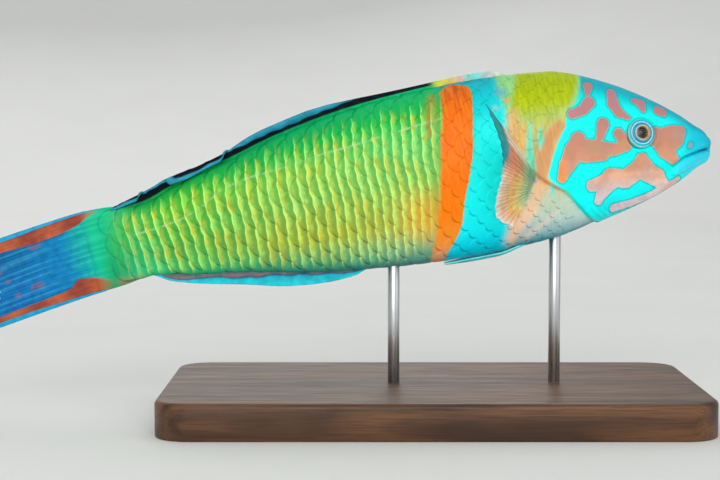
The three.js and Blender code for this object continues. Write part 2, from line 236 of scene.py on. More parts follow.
# %% The lattice of scales
# s, how far apart the columns of scales stand
PITCH = curve([(34, 2.6), (46, 3.1), (58, 4.0), (70, 4.7), (90, 4.8), (105, 5.1), (125, 5.5), (140, 5.6),
               (150, 5.2), (158, 4.2), (166, 3.4)])
ROW_SHARE = 0.72  # of that distance, from one row to the next
# s, how far the columns lean forward, in degrees
LEAN = curve([(40, 11), (66, 10), (80, 8), (100, 6), (125, 6), (140, 2), (160, 0)])
# z, how far a column gives way backwards in the middle of the side
SWAY = curve([(-22, 0.68), (-6, 0.65), (-2, 0.57), (1.5, 0), (5, -0.57), (9, -0.65), (22, -0.68)])
COLUMN_STEP = 0.25
COLUMN_S = np.arange(0, 176, COLUMN_STEP)
COLUMNS = np.cumsum(COLUMN_STEP / PITCH(COLUMN_S))
GILL_S = 46


def column_at(along):
    return np.interp(along, COLUMN_S, COLUMNS)


def column_lean(s, z):
    return z * np.tan(np.radians(LEAN(s))) + SWAY(z)


def lattice_of(s, angle):
    """The column and the row of a place on the side."""
    _, z = body_yz(s, angle)
    along = s + column_lean(s, z)
    return column_at(along), arc_at(s, angle) / (ROW_SHARE * PITCH(along))


def place_of(column, row):
    """The place (s, arc) of a column and a row."""
    along = np.interp(column, COLUMNS, COLUMN_S)
    arc = row * ROW_SHARE * PITCH(along)
    _, z = body_yz(along, angle_at(along, arc))
    return along - column_lean(along, z), arc


print("columns of scales from gill to tail:", round(float(column_at(FLESH_END) - column_at(GILL_S)), 1))

# %% [markdown]
# The colours of a living wrasse fade within minutes, so a museum paints its cast from
# photographs. The painter lays a ground first, then the broad bars, then the crisp patches.
# The same order is kept here. The ground is worked out at every point of the mesh from
# a few named paints. Crisp marks are stored as a depth in millimetres, positive inside,
# and the shader cuts them sharp at zero, finer than the mesh itself.

# %% Paints and soft edges
FAR = 99.0


def paint(red, green, blue):
    """A colour as a screen shows it, 0 to 255, in the linear values that Blender mixes."""
    seen = np.array([red, green, blue], float) / 255
    return np.where(seen <= 0.04045, seen / 12.92, ((seen + 0.055) / 1.055) ** 2.4)


def shades(where, rows):
    """A colour for each place, between the rows of a table of (place, paint)."""
    at = [row[0] for row in rows]
    colours = np.array([paint(*row[1]) for row in rows])
    return np.stack([np.interp(where, at, colours[:, k]) for k in range(3)], -1)


def ease(value, low, high):
    """Rises smoothly from 0 at low to 1 at high."""
    t = np.clip((np.asarray(value, float) - low) / (high - low), 0, 1)
    return t * t * (3 - 2 * t)


def stroke(away, width):
    """1 on a thin line and 0 far from it."""
    return np.exp(-((away / width) ** 2))


def lay(under, over, amount):
    """One coat of paint over another."""
    return under + (over - under) * np.asarray(amount)[..., None]


def blob(chain, s, z, blend=0.12):
    """How deep a place lies in a chain of discs joined by tapering bands, in mm, negative outside."""
    discs = np.array(chain, float)
    if len(discs) == 1:
        discs = np.vstack([discs, discs])
    total = np.full(np.shape(s), -FAR)
    for (s0, z0, r0), (s1, z1, r1) in zip(discs[:-1], discs[1:]):
        run_s, run_z = s1 - s0, z1 - z0
        length = max(run_s**2 + run_z**2, 1e-9)
        t = np.clip(((s - s0) * run_s + (z - z0) * run_z) / length, 0, 1)
        depth = r0 + (r1 - r0) * t - np.hypot(s - s0 - t * run_s, z - z0 - t * run_z)
        total = np.logaddexp(total / blend, depth / blend) * blend
    return total


def past(edge, s, z):
    """How far behind an edge a place lies, in mm. The edge is a table of (z, s)."""
    line = curve(edge)
    tilt = line(z + 0.5) - line(z - 0.5)
    return (s - line(z)) / np.sqrt(1 + tilt**2)


# %% [markdown]
# The flanks are green with a brighter, yellower line on each column of scales. Both paints
# change from back to belly and from the shoulder to the tail, so four short tables of
# each are enough: behind the bar, at mid length, at the rear and on the tail stalk.

# %% The flank's paints
# share of the way from belly (-1) to back (1), paint
GAPS = {
    76: [(-1, (60, 128, 130)), (-0.86, (95, 148, 122)), (-0.5, (160, 160, 68)), (0, (110, 176, 74)),
         (0.45, (68, 184, 86)), (0.72, (6, 176, 64)), (1, (0, 184, 108))],
    105: [(-1, (40, 138, 118)), (-0.85, (64, 146, 100)), (-0.5, (136, 158, 52)), (0, (102, 168, 68)),
          (0.4, (108, 178, 60)), (0.7, (8, 168, 64)), (1, (0, 174, 98))],
    138: [(-1, (26, 146, 98)), (-0.8, (56, 154, 78)), (-0.4, (72, 156, 64)), (0, (62, 164, 58)),
          (0.5, (80, 172, 48)), (0.8, (28, 176, 58)), (1, (0, 158, 68))],
    154: [(-1, (14, 166, 112)), (-0.6, (20, 166, 104)), (0, (40, 172, 84)), (0.6, (56, 178, 76)),
          (1, (30, 170, 90))],
}
STRIPES = {
    76: [(-1, (112, 172, 152)), (-0.86, (152, 202, 158)), (-0.5, (208, 240, 116)), (0, (184, 248, 122)),
         (0.45, (152, 238, 132)), (0.72, (84, 222, 102)), (1, (40, 205, 110))],
    105: [(-1, (92, 182, 132)), (-0.85, (134, 202, 126)), (-0.5, (206, 230, 84)), (0, (190, 242, 122)),
          (0.4, (184, 238, 102)), (0.7, (118, 220, 98)), (1, (50, 200, 110))],
    138: [(-1, (104, 194, 122)), (-0.8, (130, 216, 98)), (-0.3, (142, 224, 100)), (0, (150, 232, 108)),
          (0.5, (166, 236, 84)), (0.9, (112, 218, 82)), (1, (60, 190, 90))],
    154: [(-1, (70, 190, 130)), (-0.6, (90, 200, 136)), (0, (124, 220, 134)), (0.6, (134, 222, 118)),
          (1, (90, 205, 110))],
}


def along_flank(tables, s, share):
    """Mixes the tables that stand before and behind each place."""
    stations = sorted(tables)
    layers = [shades(share, tables[station]) for station in stations]
    result = layers[0]
    for (before, after), layer in zip(zip(stations[:-1], stations[1:]), layers[1:]):
        result = lay(result, layer, ease(s, before, after))
    return result


# %% [markdown]
# Behind the head come a pale chest, an olive-yellow saddle, a cyan bar and a broad orange
# bar. Each edge is a short table of (z, s): how far back the edge lies at each height.

# %% Edges of the bars
# z, s along each edge
HEAD_EDGE = [(-30, 25), (-18.6, 29.2), (-16.7, 33.8), (-13.3, 37.1), (-9.7, 39.6), (-7.7, 41.8), (-5.5, 43.9),
             (-2.6, 43.3), (2.2, 41.2), (6.5, 38.9), (10.2, 37.4), (12.9, 35.1), (18.1, 33.2), (30, 31)]
GILL_EDGE = [(-30, 24.5), (-20, 27), (-17.6, 32), (-13.6, 36.2), (-9.4, 39.9), (-6.8, 43.8), (-3.4, 47.2),
             (2.4, 46), (8.6, 42.4), (18, 38.2), (30, 35)]
BAR_FRONT = [(-30, 78), (-20.8, 72.6), (-17.1, 69.6), (-13.2, 67.4), (-7.3, 65.6), (-1.4, 63.3), (4.6, 61.4),
             (11.9, 60.0), (16.5, 59.1), (19.8, 58.9), (21.2, 60.0), (22.0, 62.6), (24, 72)]
BAR_REAR = [(-30, 80), (-20.8, 76.6), (-17.8, 75.4), (-14.6, 74.0), (-9.7, 72.6), (-3.6, 71.0), (6.3, 69.0),
            (16.1, 66.6), (20.8, 65.8), (22.0, 63.6), (24, 54)]
CYAN_FRONT = [(-30, 60), (-21.3, 56.5), (-17.8, 56.2), (-12.8, 55.6), (-6.6, 54.6), (-1.8, 53.8), (3.1, 52.6),
              (7.9, 51.8), (12.9, 52), (18.1, 52.6), (24, 52.4)]
SADDLE_REAR = [(0, 46), (9, 47.4), (12.2, 50.6), (15, 50.4), (18, 49.4), (20, 48.6), (24, 47.2)]
SADDLE_FRONT = [(0, 43), (9, 40.5), (12, 36.6), (14, 35.2), (18, 33.6), (24, 32)]
SADDLE_LOW_Z = 9.6

# %% [markdown]
# The head carries salmon patches on cyan. Each patch is a chain of round dabs of the brush,
# written as (s, z, radius), with the dabs of a chain joined by tapering strokes.

# %% The head's patches
PATCHES = {
    "crown_spot": [(31.8, 16.4, 1.1), (32.2, 14.5, 0.6)],
    "nape_streak": [(32.2, 12.3, 1.5), (33.8, 10.6, 1.2), (36.4, 9.8, 1.2)],
    "brow_streak": [(26.4, 14.3, 1.2), (26.4, 11.7, 1.3), (25.1, 9.6, 1.2), (22.9, 8.1, 0.6)],
    "brow_wedge": [(20.7, 12.3, 0.7), (18.9, 11.6, 1.1), (18.6, 10.2, 0.8)],
    "brow_oval": [(14.5, 9.7, 1.1), (13.1, 9.2, 1.1)],
    "cheek_knob": [(29.3, 6.8, 1.5), (30.3, 3.6, 1.0)],
    "cheek_rear": [(35.7, 3.6, 1.7), (36.5, 0.8, 2.7), (39.1, -2.9, 1.9), (40.6, -5.8, 1.2)],
    "cheek_bridge": [(35.9, 1.5, 2.2), (31.0, 0.6, 2.2), (26.9, 0.3, 1.5), (24.1, 0.8, 1.2)],
    "cheek_lobe": [(25.6, 4.3, 1.3), (24.3, 2.4, 1.5), (23.5, 1.1, 1.1)],
    "cheek_under": [(34.1, -0.4, 2.2), (29.5, -1.2, 1.2)],
    "snout": [(15.7, 4.3, 1.3), (15.3, 1.6, 1.6), (13.2, -0.3, 2.2), (11.3, -2.6, 1.4)],
    "snout_bridge": [(8.8, 4.2, 1.4), (10.3, 2.1, 1.9), (12.4, 0.9, 2.1)],
    "snout_lobe": [(14.6, 3.5, 1.5), (12.9, 3.9, 1.6), (11.0, 4.4, 1.4), (8.8, 4.2, 1.4)],
    "nostril_patch": [(6.9, 0.3, 0.45), (6.2, 0.9, 0.5)],
    "jowl": [(19.7, -2.6, 1.8), (18.0, -5.7, 2.3), (15.6, -7.1, 2.2)],
    "jowl_middle": [(20.2, -4.6, 2.4), (23.8, -7.2, 2.3), (27.8, -6.5, 2.2)],
    "jowl_knob": [(27.5, -7.3, 2.3), (32.8, -8.5, 1.5)],
    "jowl_tail": [(28.0, -8.3, 1.9), (30.4, -11.2, 1.3), (30.9, -12.5, 1.1)],
    "jowl_front": [(15.6, -7.1, 2.2), (13.2, -9.4, 1.3), (11.0, -9.4, 0.8)],
    "jaw_strip": [(26.4, -14.6, 1.1), (21.5, -13.5, 0.9), (16.7, -11.8, 0.9), (12.5, -9.8, 0.9),
                  (9.4, -7.9, 0.6)],
}
PATCH_BLEND = 0.1  # how softly one chain runs into the next, in mm

# %% [markdown]
# The gill cover's edge, the chest and the rims of the bars carry softer marks. A painter
# would fog them on with a dry brush. Here they are the same chains of dabs, each with its
# own paint and a soft edge, and they go straight into the ground. A fine pale line, the
# fish's sense organ for movement, runs along each side.

# %% Dabs and the lateral line
# name: chain, paint, softness of its edge in mm
DABS = {
    "gill_band": ([(39.7, 7.3, 1.3), (42.2, 5.0, 1.5), (44.0, 1.7, 1.8), (45.0, -1.4, 1.9),
                   (45.6, -4.2, 1.4)], (200, 136, 94), 0.6),
    "column": ([(50.2, 12.2, 1.2), (51.2, 7, 1.9), (51.9, 1.5, 1.5)], (206, 156, 104), 1.3),
    "stroke": ([(48.3, 8.4, 0.3), (49.0, 4, 0.4)], (236, 160, 70), 0.7),
    "cyan_strokes": ([(46.6, 9.0, 0.3), (47.4, 4.6, 0.7), (47.9, 0.2, 0.9), (47.6, -2.6, 0.5)],
                     (30, 224, 200), 0.7),
    "cyan_second": ([(44.3, 7.4, 0.3), (44.9, 4.2, 0.7), (45.2, 2.4, 0.3)], (40, 222, 196), 0.7),
    "root_streak": ([(46.2, -7.6, 1.1), (49.4, -12.9, 1.5), (53.2, -16.4, 1.5), (55.6, -20, 1.0)],
                    (238, 178, 140), 2.2),
    "low_streak": ([(42.9, -14.8, 0.2), (47.8, -18.1, 0.4), (51.4, -20, 0.6)], (206, 184, 170), 1.4),
    "ring": ([(51.9, 17.9, 1.3)], (110, 160, 175), 0.8),
    "ring_heart": ([(51.9, 17.9, 0.5)], (20, 185, 185), 0.5),
    "orange_spot": ([(50.9, 15.6, 0.6)], (235, 140, 90), 0.5),
    "pale_spot": ([(54, 14.1, 0.7)], (140, 205, 205), 0.7),
    "dark_spot": ([(58.2, 13.3, 0.3)], (0, 130, 130), 0.5),
    "root_purple": ([(47.4, -5.9, 0.5)], (130, 100, 190), 0.5),
    "root_orange": ([(44.9, -6.4, 0.8)], (240, 140, 60), 0.6),
    "gill_dash": ([(43.2, -7.6, 0.4), (43.4, -10.2, 0.35)], (30, 225, 215), 0.5),
    "bar_cap": ([(56, 22.3, 0.6), (66, 22.4, 0.8)], (36, 150, 160), 0.7),
    "bar_smear": ([(68.6, 19.5, 0.6), (69.6, 15, 1.1), (70.8, 11, 0.8)], (190, 110, 24), 1.6),
    "tail_low": ([(150, -9.6, 0.2), (156, -9.4, 0.9)], (150, 130, 90), 1.3),
}
# s, z along the lateral line
LATERAL = [(60, 14.9), (71, 13.8), (80, 12.9), (90, 12.0), (100, 11.3), (109, 10.2), (118, 9.5), (125, 7.9),
           (131, 4.9), (137, 3.2), (160, 1.6)]
print("patches:", len(PATCHES), "dabs:", len(DABS))

# %% [markdown]
# The tail fin is blue between two long lobes. Each lobe has a light blue edge and a broad
# red-brown band inside it. Its paint starts on the skin of the tail's root, so it is mixed
# here and shared by both.

# %% The tail's paint
TAIL = {"root": 158.2, "middle": 189, "lobe": 208, "sharpness": 3.2, "half": 10.7, "flare": 0.6}
# s, width of the light blue edge
TAIL_EDGE = curve([(158, 0.2), (163, 0.5), (173, 0.8), (184, 1.15), (208, 0.9)])
# upper (1) and lower (-1) lobe: s, width of the red-brown band
TAIL_BANDS = {
    1: curve([(156, 0.3), (160, 1.2), (165, 2.8), (173, 3.3), (184, 2.5), (200, 1.6), (208, 1.0)]),
    -1: curve([(154, 1.0), (160, 2.6), (164, 3.8), (168, 4.2), (170.5, 2.7), (174, 2.2), (184, 1.6),
               (208, 1.0)]),
}
BAND_STARTS = {1: 157, -1: 154}
BAND_FADE = 6
# s, z, radius; each spot is drawn out along the rays
TAIL_SPOTS = [(176.2, 6.0, 1.4), (178.8, -3.9, 1.6), (184.5, -4.6, 1.0), (188, 2.5, 1.2), (186, -0.5, 0.8)]
SPOT_LENGTH = 2.1
# s, paint
TAIL_GROUND = [(156, (0, 184, 120)), (161, (0, 188, 144)), (165, (0, 162, 176)), (169, (0, 128, 184)),
               (184, (0, 106, 176)), (208, (4, 104, 160))]
UPPER_BLUE, RAY_BLUE, RAY_GREEN = paint(0, 96, 140), paint(70, 168, 214), paint(60, 210, 170)
RED_BROWN, DARK_BROWN, SPOT_PLUM = paint(186, 92, 58), paint(150, 66, 52), paint(120, 92, 120)
EDGE_BLUE, EDGE_LINE, BAND_LINE = paint(30, 160, 205), paint(8, 70, 90), paint(10, 84, 130)


def lobe_paint(tone, s, inward, side):
    """Lays one lobe's brown band and blue edge, each with a fine dark line on its inner side."""
    edge = TAIL_EDGE(s)
    inner = edge + TAIL_BANDS[side](s)
    start = BAND_STARTS[side]
    tone = lay(tone, BAND_LINE, 0.7 * stroke(inward - inner - 0.15, 0.25) * ease(s, 162, 170))
    brown = lay(RED_BROWN + 0 * tone, DARK_BROWN, 0.5 + 0.5 * np.sin(s * 0.5 + side))
    tone = lay(tone, brown, ease(inner - inward, -0.2, 0.2) * ease(s, start, start + BAND_FADE))
    tone = lay(tone, EDGE_LINE, 0.7 * stroke(inward - edge, 0.16) * ease(s, 160, 168))
    return lay(tone, EDGE_BLUE, ease(edge - inward, -0.1, 0.12))


def tail_paint(s, z, half):
    """The tail's colour where its edge lies half a fin's depth from the axis."""
    tone = shades(s, TAIL_GROUND)
    tone = lay(tone, UPPER_BLUE, 0.5 * ease(s, 170, 184) * ease(z, -4, 4))
    wave = 0.5 + 0.5 * np.sin(3.1 * z + 2.0 * np.sin(0.9 * z) + 0.12 * s)
    tone = lay(tone, RAY_BLUE, 0.38 * wave**3 * ease(s, 168, 178))
    tone = lay(tone, RAY_GREEN, 0.35 * (1 - wave) ** 2 * (1 - ease(s, 164, 172)))
    for s0, z0, radius in TAIL_SPOTS:
        away = np.hypot((s - s0) / SPOT_LENGTH, z - z0)
        tone = lay(tone, SPOT_PLUM, 0.75 * ease(-away, -radius * 0.75, -radius * 0.3))
    for side in TAIL_BANDS:
        tone = lobe_paint(tone, s, half - side * z, side)
    return tone


print("the tail fin runs from s", TAIL["root"], "to", TAIL["lobe"], "mm at its lobes")

# %% [markdown]
# The ground is laid from the flank forward: flank, tail, cyan bar, chest, saddle and head,
# each over the one before. Behind the orange bar the flank also glows a little, low down.

# %% The ground
# s, paint
HEAD_GROUND = [(0, (8, 172, 200)), (5, (6, 190, 212)), (10, (10, 226, 226)), (16, (8, 240, 232))]
LIP_CHAIN = [(0.5, -2.6, 1.6), (5, -4.2, 1.9), (9, -5.2, 1.4)]
FOREHEAD_BLUE, THROAT_TEAL, LIP_BLUE = paint(8, 156, 182), paint(30, 196, 205), paint(60, 196, 222)
# z, paint
CHEST_GROUND = [(-22, (60, 135, 150)), (-19.5, (120, 160, 170)), (-16, (156, 180, 174)),
                (-11, (178, 196, 172)), (-7, (206, 184, 146)), (-2, (196, 180, 130)),
                (4, (196, 170, 110)), (9, (176, 180, 100)), (13, (130, 200, 130))]
SADDLE_GROUND = [(9, (166, 180, 60)), (14, (156, 176, 14)), (20, (156, 178, 4))]
CYAN_GROUND = [(-21, (2, 176, 196)), (-16, (4, 214, 228)), (-9, (6, 244, 244)), (8, (2, 240, 234)),
               (15, (4, 208, 214)), (21, (4, 184, 198))]
BELLY_TEAL, GLOW_ORANGE = paint(0, 128, 150), paint(212, 158, 56)


def share_of(s, z):
    """The share of the way from the axis to the back (1) or to the belly (-1)."""
    return z / np.maximum(reach_at(s, z), 1e-6)


def flank_glow(s, share, middle, spread):
    return ease(-np.hypot((s - middle) / 9, (share + 0.42) / spread), -1.1, -0.1)


def head_ground(s, z, share):
    """Cyan, bluer at the snout and along the forehead, greyer under the throat."""
    colour = lay(shades(s, HEAD_GROUND), FOREHEAD_BLUE, 0.85 * ease(share, 0.6, 0.96) * (1 - ease(s, 34, 42)))
    colour = lay(colour, THROAT_TEAL, 0.6 * ease(-share, 0.8, 1))
    return lay(colour, LIP_BLUE, 0.7 * ease(blob(LIP_CHAIN, s, z), -0.6, 0.8))


def shoulder_ground(s, z, share):
    """The chest and shoulder, between the gill cover and the cyan bar."""
    colour = lay(shades(z, CHEST_GROUND), BELLY_TEAL, ease(-share, 0.93, 1.0))
    saddle = np.minimum(past(SADDLE_FRONT, s, z), -past(SADDLE_REAR, s, z))
    amount = ease(saddle, -0.5, 1.2) * ease(z, SADDLE_LOW_Z - 2.5, SADDLE_LOW_Z + 3.5)
    return lay(colour, shades(z, SADDLE_GROUND), amount)


def ground_paint(s, z):
    share = share_of(s, z)
    colour = lay(along_flank(GAPS, s, share), GLOW_ORANGE, 0.85 * flank_glow(s, share, 76, 0.42))
    colour = lay(colour, tail_paint(s, z, reach_at(s, z)), ease(s + 0.35 * z, 153, 160.5))
    colour = lay(colour, shades(z, CYAN_GROUND), ease(-past(BAR_FRONT, s, z), -0.6, 0.6))
    colour = lay(colour, shoulder_ground(s, z, share), ease(-past(CYAN_FRONT, s, z), -0.7, 1.0))
    for chain, tone, softness in DABS.values():
        colour = lay(colour, paint(*tone), 0.85 * ease(blob(chain, s, z), -softness, softness))
    head = ease(-past(HEAD_EDGE, s, z), -0.25, 0.25) * ease(-blob(DABS["gill_band"][0], s, z), -0.2, 0.3)
    return lay(colour, head_ground(s, z, share), head)


print("ground at the middle of the cyan bar:", np.round(ground_paint(np.array(58.0), np.array(0.0)), 3))

# %% [markdown]
# The crisp marks have paints of their own. The patches are salmon: pinker on the brow,
# paler on the jowl, orange on the gill cover's edge. The orange bar darkens towards the
# back. Last, every paint is lifted below and dropped above. Fish are a little paler below
# in life, but most of the lift is painted light: it brightens the belly, which the lamps
# leave in shade, and darkens the back, which they light most.

# %% Paints of the crisp marks
# z, paint
PATCH_TONES = [(-14, (196, 180, 190)), (-9.5, (202, 178, 176)), (-6, (226, 172, 144)), (-4, (206, 148, 120)),
               (2, (194, 134, 110)), (7, (186, 124, 116)), (12, (180, 124, 134))]
GILL_TONES = [(-4, (232, 142, 78)), (4, (232, 144, 96)), (8, (224, 142, 120))]
BAR_TONES = [(-21, (176, 140, 108)), (-17.5, (230, 130, 50)), (-11, (250, 116, 4)), (2, (246, 104, 0)),
             (12, (238, 98, 4)), (19, (206, 82, 22)), (22, (190, 74, 28))]
SNOUT_GREY, STRIPE_GOLD = paint(96, 160, 176), paint(240, 218, 70)
# chain, paint, strength, and the depths in the chain between which the paint comes up
PATCH_TINTS = [
    ([(18, -6, 1.5)], (196, 168, 156), 0.7, (-2.5, 1.5)),
    ([(33, 1, 0.6), (29, 0.4, 0.4)], (174, 142, 116), 0.7, (-1.8, 0.6)),
    ([(9.5, 3.4, 1)], (178, 146, 136), 0.8, (-1.8, 0.8)),
    ([(24.2, 1.6, 0.6)], (196, 150, 92), 0.6, (-1.4, 0.6)),
]
SIDE_PAINTED_LIGHT, BELLY_PAINTED_LIGHT, BACK_PAINTED_SHADE = 0.08, 0.5, 0.12


def patch_paint(s, z):
    colour = lay(shades(z, PATCH_TONES), SNOUT_GREY, 0.8 * ease(-s, -8, -7.4))
    for chain, tone, strength, (outside, inside) in PATCH_TINTS:
        colour = lay(colour, paint(*tone), strength * ease(blob(chain, s, z), outside, inside))
    return lay(colour, shades(z, GILL_TONES), ease(s, 38.2, 40.6))


# Painted light and shade: each paint is lifted on the belly, which the lamps leave in shade, and dropped on
# the back, where they light it most. Fish are also a little paler below in life. The lift fades out at the
# tail fin's root.
def countershade_and_painted_light(colour, s, share):
    below, belly, back = ease(-share, -0.3, 0.2), ease(-share, 0.35, 0.95), ease(share, 0.6, 0.95)
    gain = SIDE_PAINTED_LIGHT * below + BELLY_PAINTED_LIGHT * belly - BACK_PAINTED_SHADE * back
    gain = 1 + gain * (1 - ease(s, 148, 157))
    return np.minimum(colour * gain[..., None], 1.0)


def markings(s, z):
    """Every mark's depth, in mm, and every paint, at places on the side."""
    share = share_of(s, z)
    patch = np.full(np.shape(s), -FAR)
    for chain in PATCHES.values():
        patch = np.logaddexp(patch / PATCH_BLEND, blob(chain, s, z) / PATCH_BLEND) * PATCH_BLEND
    behind_front = past(BAR_FRONT, s, z)
    ragged = 0.05 * np.sin(1.9 * s) + 0.04 * np.sin(0.83 * s)
    flank = ease(behind_front, 4, 12) * (1 - ease(s, 147, 157)) * ease(1 - np.abs(share), 0.02, 0.2)
    streak = ease(-past(CYAN_FRONT, s, z), -3, 1) * ease(past(HEAD_EDGE, s, z), -0.3, 0.5)
    off_flank = ease(-behind_front, -6, -3) + ease(s, 150, 156)
    fields = {
        "patch": patch,
        "bar": np.minimum(behind_front, -past(BAR_REAR, s, z) / 2.2),
        "stripe": flank * (1 - 0.92 * ease(share + ragged, 0.66, 0.88)),
        "streak": streak * (0.55 + 0.45 * ease(z, -8, 8)),
        "lateral": z - curve(LATERAL)(s) + FAR * off_flank,
    }
    stripe_tone = lay(along_flank(STRIPES, s, share), STRIPE_GOLD, 0.8 * flank_glow(s, share, 75, 0.4))
    # Each paint gets the painted light below and the painted shade above.
    tones = {
        "ground": countershade_and_painted_light(ground_paint(s, z), s, share),
        "patch_tone": countershade_and_painted_light(patch_paint(s, z), s, share),
        "bar_tone": countershade_and_painted_light(shades(z, BAR_TONES), s, share),
        "stripe_tone": countershade_and_painted_light(stripe_tone, s, share),
    }
    return fields, tones


print("marks kept at each point:", ", ".join(markings(np.array([20.0]), np.array([0.0]))[0]))

# %% [markdown]
# Every finish here is a small network of shader nodes. Two helpers keep the networks short
# to read: one adds a node and joins its inputs, the other does sums.

# %% Node helpers
# the Mix node's sockets that carry colours
COLOUR_A, COLOUR_B, COLOUR_OUT = 6, 7, 2


def node(tree, kind, inputs=None, **settings):
    """Adds a shader node. An input is a value, or the socket that feeds it."""
    made = tree.nodes.new("ShaderNode" + kind)
    for name, value in settings.items():
        setattr(made, name, value)
    for name, value in (inputs or {}).items():
        if isinstance(value, bpy.types.NodeSocket):
            tree.links.new(value, made.inputs[name])
        else:
            made.inputs[name].default_value = value
    return made


def sums(tree, operation, *values):
    return node(tree, "Math", dict(enumerate(values)), operation=operation).outputs[0]


def stored(tree, name, output="Fac"):
    """A value that the mesh keeps at each point."""
    return node(tree, "Attribute", attribute_name=name).outputs[output]


def mixed(tree, amount, under, over, blend="MIX"):
    sockets = {0: amount, COLOUR_A: under, COLOUR_B: over}
    return node(tree, "Mix", sockets, data_type="RGBA", blend_type=blend).outputs[COLOUR_OUT]


def ranged(tree, value, low, high, to_low=0.0, to_high=1.0):
    sockets = {"Value": value, "From Min": low, "From Max": high, "To Min": to_low, "To Max": to_high}
    return node(tree, "MapRange", sockets, interpolation_type="SMOOTHSTEP").outputs["Result"]


def stretch_places(tree, places, factors):
    return node(tree, "VectorMath", {0: places, 1: factors}, operation="MULTIPLY").outputs[0]


def group(name, inputs, outputs):
    """An empty node group with named sockets. Returns it with its inner input and output nodes."""
    tree = bpy.data.node_groups.new(name, "ShaderNodeTree")
    for label, kind, value in inputs:
        socket = tree.interface.new_socket(name=label, in_out="INPUT", socket_type="NodeSocket" + kind)
        if value is not None:
            socket.default_value = value
    for label, kind in outputs:
        tree.interface.new_socket(name=label, in_out="OUTPUT", socket_type="NodeSocket" + kind)
    return tree, tree.nodes.new("NodeGroupInput").outputs, tree.nodes.new("NodeGroupOutput").inputs


def use(tree, shared, inputs):
    """Places a shared group in a material."""
    return node(tree, "Group", inputs, node_tree=shared).outputs


def finish_of(name, roughness=0.5, **sockets):
    """A new material and its Principled shader, with plain values on the shader's own sockets."""
    material = bpy.data.materials.new(name)
    material.use_nodes = True
    shader = material.node_tree.nodes["Principled BSDF"]
    shader.inputs["Roughness"].default_value = roughness
    for label, value in sockets.items():
        shader.inputs[label.replace("_", " ")].default_value = value
    return material, material.node_tree, shader.inputs


def paint4(*seen):
    return (*paint(*seen), 1.0)


print("salmon as a shader's colour:", np.round(paint4(206, 148, 120), 3))

# %% [markdown]
# Three effects come back in several finishes, so each is a shared group. "Soft edge" cuts
# a stored depth into a mark and the thin line around it. "Scale lines" draws one upright
# bright line on each column of scales, wide on a scale's middle and narrow between rows.
# "Living skin" is the mottle, the fine streaks and the pores of wet skin.

# %% Shared effects
def soft_edge_group():
    tree, given, result = group(
        "Soft edge",
        [("Depth", "Float", 0.0), ("Softness", "Float", 0.2), ("Line Width", "Float", 0.4),
         ("Wander", "Float", 0.1), ("Places", "Vector", None)],
        [("Inside", "Float"), ("Line", "Float")],
    )
    noise = node(tree, "TexNoise", {"Vector": given["Places"], "Scale": 0.9, "Detail": 2.0}).outputs["Fac"]
    shift = sums(tree, "MULTIPLY", sums(tree, "SUBTRACT", noise, 0.5), given["Wander"])
    depth = sums(tree, "ADD", given["Depth"], shift)
    outside = sums(tree, "MULTIPLY", given["Softness"], -1.0)
    tree.links.new(ranged(tree, depth, outside, given["Softness"]), result["Inside"])
    away = sums(tree, "ABSOLUTE", sums(tree, "ADD", depth, given["Softness"]))
    tree.links.new(ranged(tree, away, 0.0, given["Line Width"], 1.0, 0.0), result["Line"])
    return tree


def scale_lines_group():
    tree, given, result = group(
        "Scale lines",
        [("Column", "Float", 0.0), ("Row", "Float", 0.0), ("Phase", "Float", 0.2), ("Width", "Float", 0.3),
         ("Wander", "Float", 0.1), ("Places", "Vector", None)],
        [("Body", "Float"), ("Rear Edge", "Float")],
    )
    noise = node(tree, "TexNoise", {"Vector": given["Places"], "Scale": 0.35, "Detail": 3.0}).outputs["Fac"]
    drift = sums(tree, "MULTIPLY", sums(tree, "SUBTRACT", noise, 0.5), given["Wander"])
    turn = sums(tree, "MULTIPLY", given["Row"], 2 * np.pi)
    kink = sums(tree, "MULTIPLY", sums(tree, "SINE", turn), 0.035)
    doubled = sums(tree, "MULTIPLY", sums(tree, "SUBTRACT", given["Column"], given["Phase"]), 2.0)
    halves = sums(tree, "ADD", sums(tree, "ADD", doubled, kink), sums(tree, "MULTIPLY", drift, 2.0))
    offset = sums(tree, "SUBTRACT", halves, sums(tree, "ROUND", halves))
    coarse = node(tree, "TexNoise", {"Vector": given["Places"], "Scale": 0.8, "Detail": 2.0}).outputs["Fac"]
    narrow = sums(tree, "MULTIPLY", ranged(tree, coarse, 0.35, 0.65, 1.0, 0.0), 0.12)
    front = sums(tree, "ADD", sums(tree, "SUBTRACT", 0.5, given["Width"]), narrow)
    rise = ranged(tree, offset, sums(tree, "SUBTRACT", front, 0.62), sums(tree, "ADD", front, 0.1))
    fall = ranged(tree, offset, 0.32, 0.38, 1.0, 0.0)
    tree.links.new(sums(tree, "MULTIPLY", rise, fall), result["Body"])
    edge = sums(tree, "ABSOLUTE", sums(tree, "SUBTRACT", offset, 0.28))
    tree.links.new(ranged(tree, edge, 0.0, 0.09, 1.0, 0.0), result["Rear Edge"])
    return tree


